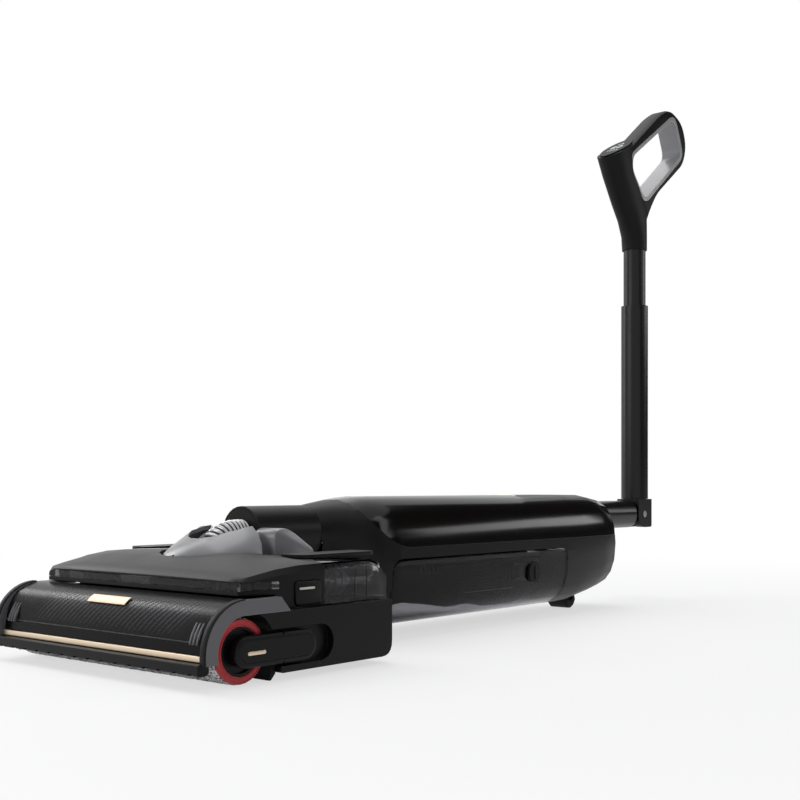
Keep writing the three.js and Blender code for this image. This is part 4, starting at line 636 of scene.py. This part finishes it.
# %% [markdown]
# The rest of the small things are modelled from the shapes they sit on. A ray finds the
# surface of a solid, so that a seam, a mark or a bead lies on the skin and not inside it.
# Places are given as on a drawing: millimetres across, behind the roller's axis, and up.

# %% Builders for small pieces
roller_back = pile_middle.y


def spot(across, behind, up):
    return Vector((across / 1000, roller_back + behind / 1000, up / 1000))


def seek(node, start, way):
    """Where a ray meets a solid, or None."""
    hit, place, normal, _ = nodes[node].ray_cast(start, Vector(way).normalized(), distance=0.3)
    return (place, normal) if hit else None


def sweep(path, radius, sides=8, squash=1.0, closed=False):
    """A bmesh tube along points; squash flattens it across its second axis."""
    bm = bmesh.new()
    rings = []
    count = len(path)
    for i, at in enumerate(path):
        ahead = path[(i + 1) % count] if closed or i < count - 1 else at
        behind = path[i - 1] if closed or i else at
        way = (ahead - behind).normalized()
        side = way.cross(Vector((0, 0, 1)) if abs(way.z) < 0.9 else Vector((1, 0, 0))).normalized()
        up = side.cross(way)
        rings.append([
            bm.verts.new(at + side * radius * math.cos(a) + up * radius * squash * math.sin(a))
            for a in (2 * math.pi * k / sides for k in range(sides))
        ])
    pairs = list(zip(rings, rings[1:])) + ([(rings[-1], rings[0])] if closed else [])
    for first, second in pairs:
        for k in range(sides):
            bm.faces.new((first[k], first[(k + 1) % sides], second[(k + 1) % sides], second[k]))
    if not closed:
        bm.faces.new(list(reversed(rings[0])))
        bm.faces.new(rings[-1])
    bmesh.ops.recalc_face_normals(bm, faces=bm.faces)
    return bm


def slab(points, from_x, to_x, round_by=0.0, segments=2):
    """A side outline, points behind and up in millimetres, made solid between two planes."""
    bm = bmesh.new()
    face = bm.faces.new([bm.verts.new(spot(from_x, y, z)) for y, z in points])
    grown = bmesh.ops.extrude_face_region(bm, geom=[face])["geom"]
    moved = [v for v in grown if isinstance(v, bmesh.types.BMVert)]
    bmesh.ops.translate(bm, verts=moved, vec=((to_x - from_x) / 1000, 0, 0))
    bmesh.ops.recalc_face_normals(bm, faces=bm.faces)
    if round_by:
        sharp = [e for e in bm.edges if e.calc_face_angle(0) > 0.5]
        bmesh.ops.bevel(
            bm, geom=sharp, offset=round_by / 1000, segments=segments,
            affect="EDGES", profile=0.5, material=-1,
        )
    return bm


def capsule(middle_y, middle_z, length, height, steps=8):
    """A slot outline with round ends, as points behind and up."""
    half, r = length / 2 - height / 2, height / 2
    points = []
    for k in range(steps + 1):
        a = -math.pi / 2 + math.pi * k / steps
        points.append((middle_y + half + r * math.cos(a), middle_z + r * math.sin(a)))
    for k in range(steps + 1):
        a = math.pi / 2 + math.pi * k / steps
        points.append((middle_y - half + r * math.cos(a), middle_z + r * math.sin(a)))
    return points


def arc(radius, first, last, steps, middle=(0.0, 24.0)):
    turns = [math.radians(first + (last - first) * k / steps) for k in range(steps + 1)]
    return [(middle[0] + radius * math.cos(a), middle[1] + radius * math.sin(a)) for a in turns]


def put(name, bm, finish, body, smooth=True):
    made = mesh_object(name, bm, finish, smooth)
    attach(made, body)
    return made


# %% [markdown]
# Small marks on the head: a gold bar inlaid in the roller arm, a pale bar on each tank latch
# that is a painted highlight, the thin black frame that borders the grey trims, and welts that
# give the red ring its two rims.

# %% Marks, painted latch highlights, trim frames and ring welts
arm_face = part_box("roller_arm_panel")[1].x * 1000
arm_inlay = slab(capsule(8.5, 23, 17, 2.6), arm_face - 0.2, arm_face + 0.35, 0.15)
put("arm_mark", arm_inlay, gold, "roller_carrier")
latch_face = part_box("tank_latch_near")[1].x * 1000
# The pale cream bar on each latch is a painted highlight of the latch's bar, not an inlay.
for side, body in ((1, "latch_near"), (-1, "latch_far")):
    mark = slab(capsule(65, 64, 16, 1.7), side * (latch_face - 0.2), side * (latch_face + 0.3), 0.12)
    put("latch_highlight_" + body[6:], mark, cream, body)
trim_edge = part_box("side_trim_near")[1].x * 1000
for side, word in ((1, "near"), (-1, "far")):
    band = arc(36.9, 189, 91, 26) + list(reversed(arc(36.1, 189, 91, 26)))
    frame_piece = slab(band, side * (trim_edge - 5.5), side * (trim_edge + 0.3))
    put("trim_frame_" + word, frame_piece, rubber, "head")
ring_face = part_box("roller_end_ring")[1].x
for word, radius, thick in (("outer", 22.2, 0.55), ("inner", 18.6, 0.5)):
    path = [Vector((ring_face, roller_back + y / 1000, z / 1000)) for y, z in arc(radius, 0, 354, 59)]
    put("ring_welt_" + word, sweep(path, thick / 1000, 8, closed=True), red_rubber, "roller")

# %% [markdown]
# The hose is wire under thin silver skin. Each turn of wire stands out and the skin sinks
# between the turns. A screw modifier on a spline could do it, but the rings would need a
# bend later, so the piece is one tube swept along a four-point curve, whose radius follows a
# rounded wave. The faces in the valleys get a dark colour, which is painted shade in the
# grooves, and those on the crests the silver.
# It is thicker and stands higher than the solid it replaces, as the photograph shows it.

# %% Ribbed neck hose
socket_low, socket_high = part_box("hose_socket")
hose_low, hose_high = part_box("neck_hose")
hose_radius = 11.4
hose_pitch = 3.6
rib_depth = 2.0
rib_roundness = 0.7
foot_y = (socket_low.y + socket_high.y) / 2 * 1000 - roller_back * 1000
head_z = 100.0
front_y = hose_high.y * 1000 - roller_back * 1000
foot_z = hose_low.z * 1000
run_out, crown_rise = 22, 1
foot_lean, foot_drop = 2, 4
curve_steps = 60
pulls = (
    (front_y, head_z), (front_y - run_out, head_z + crown_rise),
    (foot_y + foot_lean, head_z - foot_drop), (foot_y, foot_z),
)
line = []
for k in range(curve_steps + 1):
    t = k / curve_steps
    parts = ((1 - t) ** 3, 3 * t * (1 - t) ** 2, 3 * t * t * (1 - t), t ** 3)
    line.append(tuple(sum(part * pull[axis] for part, pull in zip(parts, pulls)) for axis in (0, 1)))
lengths = [0.0]
for (y0, z0), (y1, z1) in zip(line, line[1:]):
    lengths.append(lengths[-1] + math.hypot(y1 - y0, z1 - z0))
turns = round(lengths[-1] / hose_pitch)
steps_per_turn = 10


def along(distance):
    for k in range(1, len(line)):
        if lengths[k] >= distance or k == len(line) - 1:
            share = (distance - lengths[k - 1]) / (lengths[k] - lengths[k - 1])
            (y0, z0), (y1, z1) = line[k - 1], line[k]
            return y0 + (y1 - y0) * share, z0 + (z1 - z0) * share


hose_bm = bmesh.new()
hose_rings = []
sides = 40
total = turns * steps_per_turn
for k in range(total + 1):
    distance = lengths[-1] * k / total
    y, z = along(distance)
    y_next, z_next = along(min(distance + 0.2, lengths[-1]))
    y_last, z_last = along(max(distance - 0.2, 0))
    way = Vector((0, y_next - y_last, z_next - z_last)).normalized()
    up = Vector((0, -way.z, way.y))
    wave = 0.5 + 0.5 * math.cos(2 * math.pi * k / steps_per_turn)
    radius = hose_radius - rib_depth * (1 - wave ** rib_roundness)
    middle = spot(0, y, z)
    hose_rings.append([
        hose_bm.verts.new(middle + (Vector((math.cos(a), 0, 0)) + up * math.sin(a)) * radius / 1000)
        for a in (2 * math.pi * j / sides for j in range(sides))
    ])
for first, second in zip(hose_rings, hose_rings[1:]):
    for j in range(sides):
        hose_bm.faces.new((first[j], first[(j + 1) % sides], second[(j + 1) % sides], second[j]))
hose_bm.faces.new(list(reversed(hose_rings[0])))
hose_bm.faces.new(hose_rings[-1])
bmesh.ops.recalc_face_normals(hose_bm, faces=hose_bm.faces)
crest = plastic("silver_ribs", "#b9b9bb", "#e4e4e6", even=0.26, spread=0.1, Metallic=0.6)
# The valley colour is painted shade in the grooves between the silver turns.
groove_shade = plastic("hose_groove_shade", "#161617", "#2a2a2c", even=0.5, spread=0.1)
hose = mesh_object("hose_wound", hose_bm, crest)
hose.data.materials.append(groove_shade)
for face in hose.data.polygons:
    step_in_turn = (face.index // sides) % steps_per_turn
    if face.index < total * sides and 3 <= step_in_turn <= 6:
        face.material_index = 1
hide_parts("neck_hose")
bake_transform(hose)

# %% [markdown]
# On the loop's trunk a dark glass leaf shows a charge in figures. The figures are seven-bar
# digits of thin slabs that glow a little, laid on the sloping glass. Below it are a status
# ring and short bars, as such a display has.

# %% Display figures
glow = bpy.data.materials.new("display_figures")
glow.use_nodes = True
tree = glow.node_tree
shader = tree.nodes["Principled BSDF"]
shader.inputs["Base Color"].default_value = linear("#d8dde0")
shader.inputs["Emission Color"].default_value = linear("#cfd6da")
tone = use(tree, handling, Even=0.55, Spread=0.1)
tree.links.new(tone.outputs["Roughness"], shader.inputs["Roughness"])
shader.inputs["Emission Strength"].default_value = 0.9
glass_low, glass_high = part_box("display_glass")
glass_middle = (glass_low + glass_high) / 2
found = seek("display_glass", glass_middle + Vector((0, -0.02, 0.06)), (0, 0.3, -0.95))
glass_at, glass_normal = found
leaf_across = Vector((1, 0, 0))
leaf_along = glass_normal.cross(leaf_across).normalized()
if leaf_along.y < 0:
    leaf_along = -leaf_along
bars_of = {"0": "abcdef", "8": "abcdefg"}
bar_at = {
    "a": (0, 1, 1), "g": (0, 0, 1), "d": (0, -1, 1), "f": (-0.5, 0.5, 0), "b": (0.5, 0.5, 0),
    "e": (-0.5, -0.5, 0), "c": (0.5, -0.5, 0),
}


def leaf_box(bm, across, along_leaf, wide, long, lift=0.00012):
    middle = glass_at + leaf_across * across + leaf_along * along_leaf
    corners = []
    for rise in (0.00002, lift):
        for a, b in ((-1, -1), (1, -1), (1, 1), (-1, 1)):
            at = middle + leaf_across * a * wide / 2 + leaf_along * b * long / 2 + glass_normal * rise
            corners.append(bm.verts.new(at))
    for k in range(4):
        bm.faces.new((corners[k], corners[(k + 1) % 4], corners[(k + 1) % 4 + 4], corners[k + 4]))
    bm.faces.new(corners[:4][::-1])
    bm.faces.new(corners[4:])


figures = bmesh.new()
digit_wide, digit_tall, bar_thick = 0.0046, 0.0042, 0.0009
for place_x, digit in ((-0.0042, "8"), (0.0042, "0")):
    for key in bars_of[digit]:
        dx, dy, flat = bar_at[key]
        wide, long = (digit_wide, bar_thick) if flat else (bar_thick, digit_tall * 0.86)
        leaf_box(figures, place_x + dx * digit_wide, 0.002 + dy * digit_tall, wide, long)
for k in range(5):
    leaf_box(figures, -0.006 + 0.003 * k, -0.0105, 0.002, 0.0012)
for k in range(12):
    turn = 2 * math.pi * k / 12
    leaf_box(figures, 0.0032 * math.cos(turn), 0.0148 + 0.0032 * math.sin(turn), 0.0011, 0.0007)
bmesh.ops.recalc_face_normals(figures, faces=figures.faces)
put("display_figures", figures, glow, "pole_inner", smooth=False)

# %% [markdown]
# Seams tell where one moulding ends. A thin cord of shadow colour follows the tank lobe's
# skin at two places, and a fine gold cord on the front edge of the rear cap is a painted
# highlight along that edge. A small dark plug covers the screw at the fairing's nose.

# %% Seams, painted cap edge highlight and plug
def skin_path(node, starts, way, lift):
    """Points on a solid's skin below a row of starting points, lifted off it a little."""
    points = []
    for start in starts:
        found = seek(node, start, way)
        if found:
            points.append(found[0] + found[1] * lift)
    return points


for side, word in ((1, "near"), (-1, "far")):
    node = "tank_lobe_" + word
    for number, behind in enumerate((118, 131)):
        wall = [spot(side * 140, behind, 52 + k) for k in range(27)]
        path = skin_path(node, wall, (-side, 0, 0), 0.00004)
        seam = sweep(path, 0.00028, 6)
        put("lobe_seam_%s_%d" % (word, number + 1), seam, rubber, "tank")
# The gold cord along the rear cap's front edge is a painted highlight of that edge.
cap_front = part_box("body_rear_cap")[0].y * 1000 - roller_back * 1000
path = skin_path("body_rear_cap", [spot(x, cap_front + 0.5, 150) for x in range(-19, 20)], (0, 0, -1), 0.0)
put("cap_edge_highlight", sweep(path, 0.0004, 6), gold, "body")
nose = seek("neck_fairing", spot(0, 20, 83), (0, 1, 0))
if nose:
    plug = bmesh.new()
    bmesh.ops.create_cone(plug, cap_ends=True, segments=24, radius1=0.0019, radius2=0.0015, depth=0.0012)
    lean = nose[1].to_track_quat("Z", "Y").to_matrix()
    bmesh.ops.rotate(plug, verts=plug.verts, cent=(0, 0, 0), matrix=lean)
    bmesh.ops.translate(plug, verts=plug.verts, vec=nose[0] + nose[1] * 0.0001)
    put("fairing_plug", plug, rubber, "head")

# %% [markdown]
# What shows through the clear parts. Behind the window in the tank's nose stand ribs and two
# blocks that steer the water. Behind the clean tank's smoked wall hangs a dark inner box with
# a rounded foot, a few level ribs and the pipe that leads to the fill cap. The visor has three
# thin arched ribs near each end.

# %% Inner shapes
for number, (start, end, front, back, low_z, high_z, finish) in enumerate((
    (-112, -109, 14, 24, 64, 71, soft_grey), (-96, -78, 14, 20, 65, 70, mid_grey),
    (-62, -34, 13, 20, 64, 71, rubber),
    (-28, 8, 14, 19, 65, 70, mid_grey), (12, 70, 13, 20, 64, 71, rubber), (84, 88, 14, 24, 64, 71, soft_grey),
)):
    shape = [(front, low_z), (back, low_z), (back, high_z), (front, high_z)]
    put("tank_rib_%d" % (number + 1), slab(shape, start, end, 0.5), finish, "tank")

inner_outline = [
    (262, 62), (262, 29), (285, 31), (314, 28), (351, 22), (389, 23.5), (391, 26.5), (406, 19.5), (429, 18.4),
    (455, 18.4), (485, 21), (505, 31), (512, 45), (512, 62),
]
inner_half = 30
put("inner_box", slab(inner_outline, -inner_half, inner_half, 0.8), rubber, "clean_tank")
rail = [(258, 65), (514, 65), (514, 69), (258, 69)]
put("inner_rail", slab(rail, -inner_half - 2, inner_half + 2, 0.6), dark_grey, "clean_tank")
level = slab(capsule(422, 34, 84, 0.9), inner_half - 0.2, inner_half + 0.7)
put("level_line", level, soft_grey, "clean_tank")
rib_first, rib_pitch, rib_thick, rib_foot, rib_top = 309, 6, 1.4, 56, 63.5
for number in range(5):
    front = rib_first + number * rib_pitch
    back = front + rib_thick
    outline = [(front, rib_foot), (back, rib_foot), (back, rib_top), (front, rib_top)]
    rib = slab(outline, inner_half - 0.3, inner_half + 3)
    put("inner_rib_%d" % (number + 1), rib, dark_grey, "clean_tank")
spout = sweep([spot(across, 470, 50) for across in (inner_half - 2, 36, 43)], 0.0085, 32)
put("fill_spout", spout, dark_grey, "clean_tank")
cap_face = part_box("tank_fill_cap")[1].x * 1000
grip = [(behind, up) for up, behind in capsule(50, 470, 15, 3.4)]
put("cap_grip", slab(grip, cap_face - 0.4, cap_face + 0.9, 0.5), rubber, "fill_cap")
for side, word in ((1, "near"), (-1, "far")):
    for number, across in enumerate((108, 111.6, 115.2)):
        arch = arc(33.2, 95, 168, 20) + list(reversed(arc(30.8, 95, 168, 20)))
        rib = slab(arch, side * across, side * (across + 1.2))
        put("visor_rib_%s_%d" % (word, number + 1), rib, soft_grey, "cover")
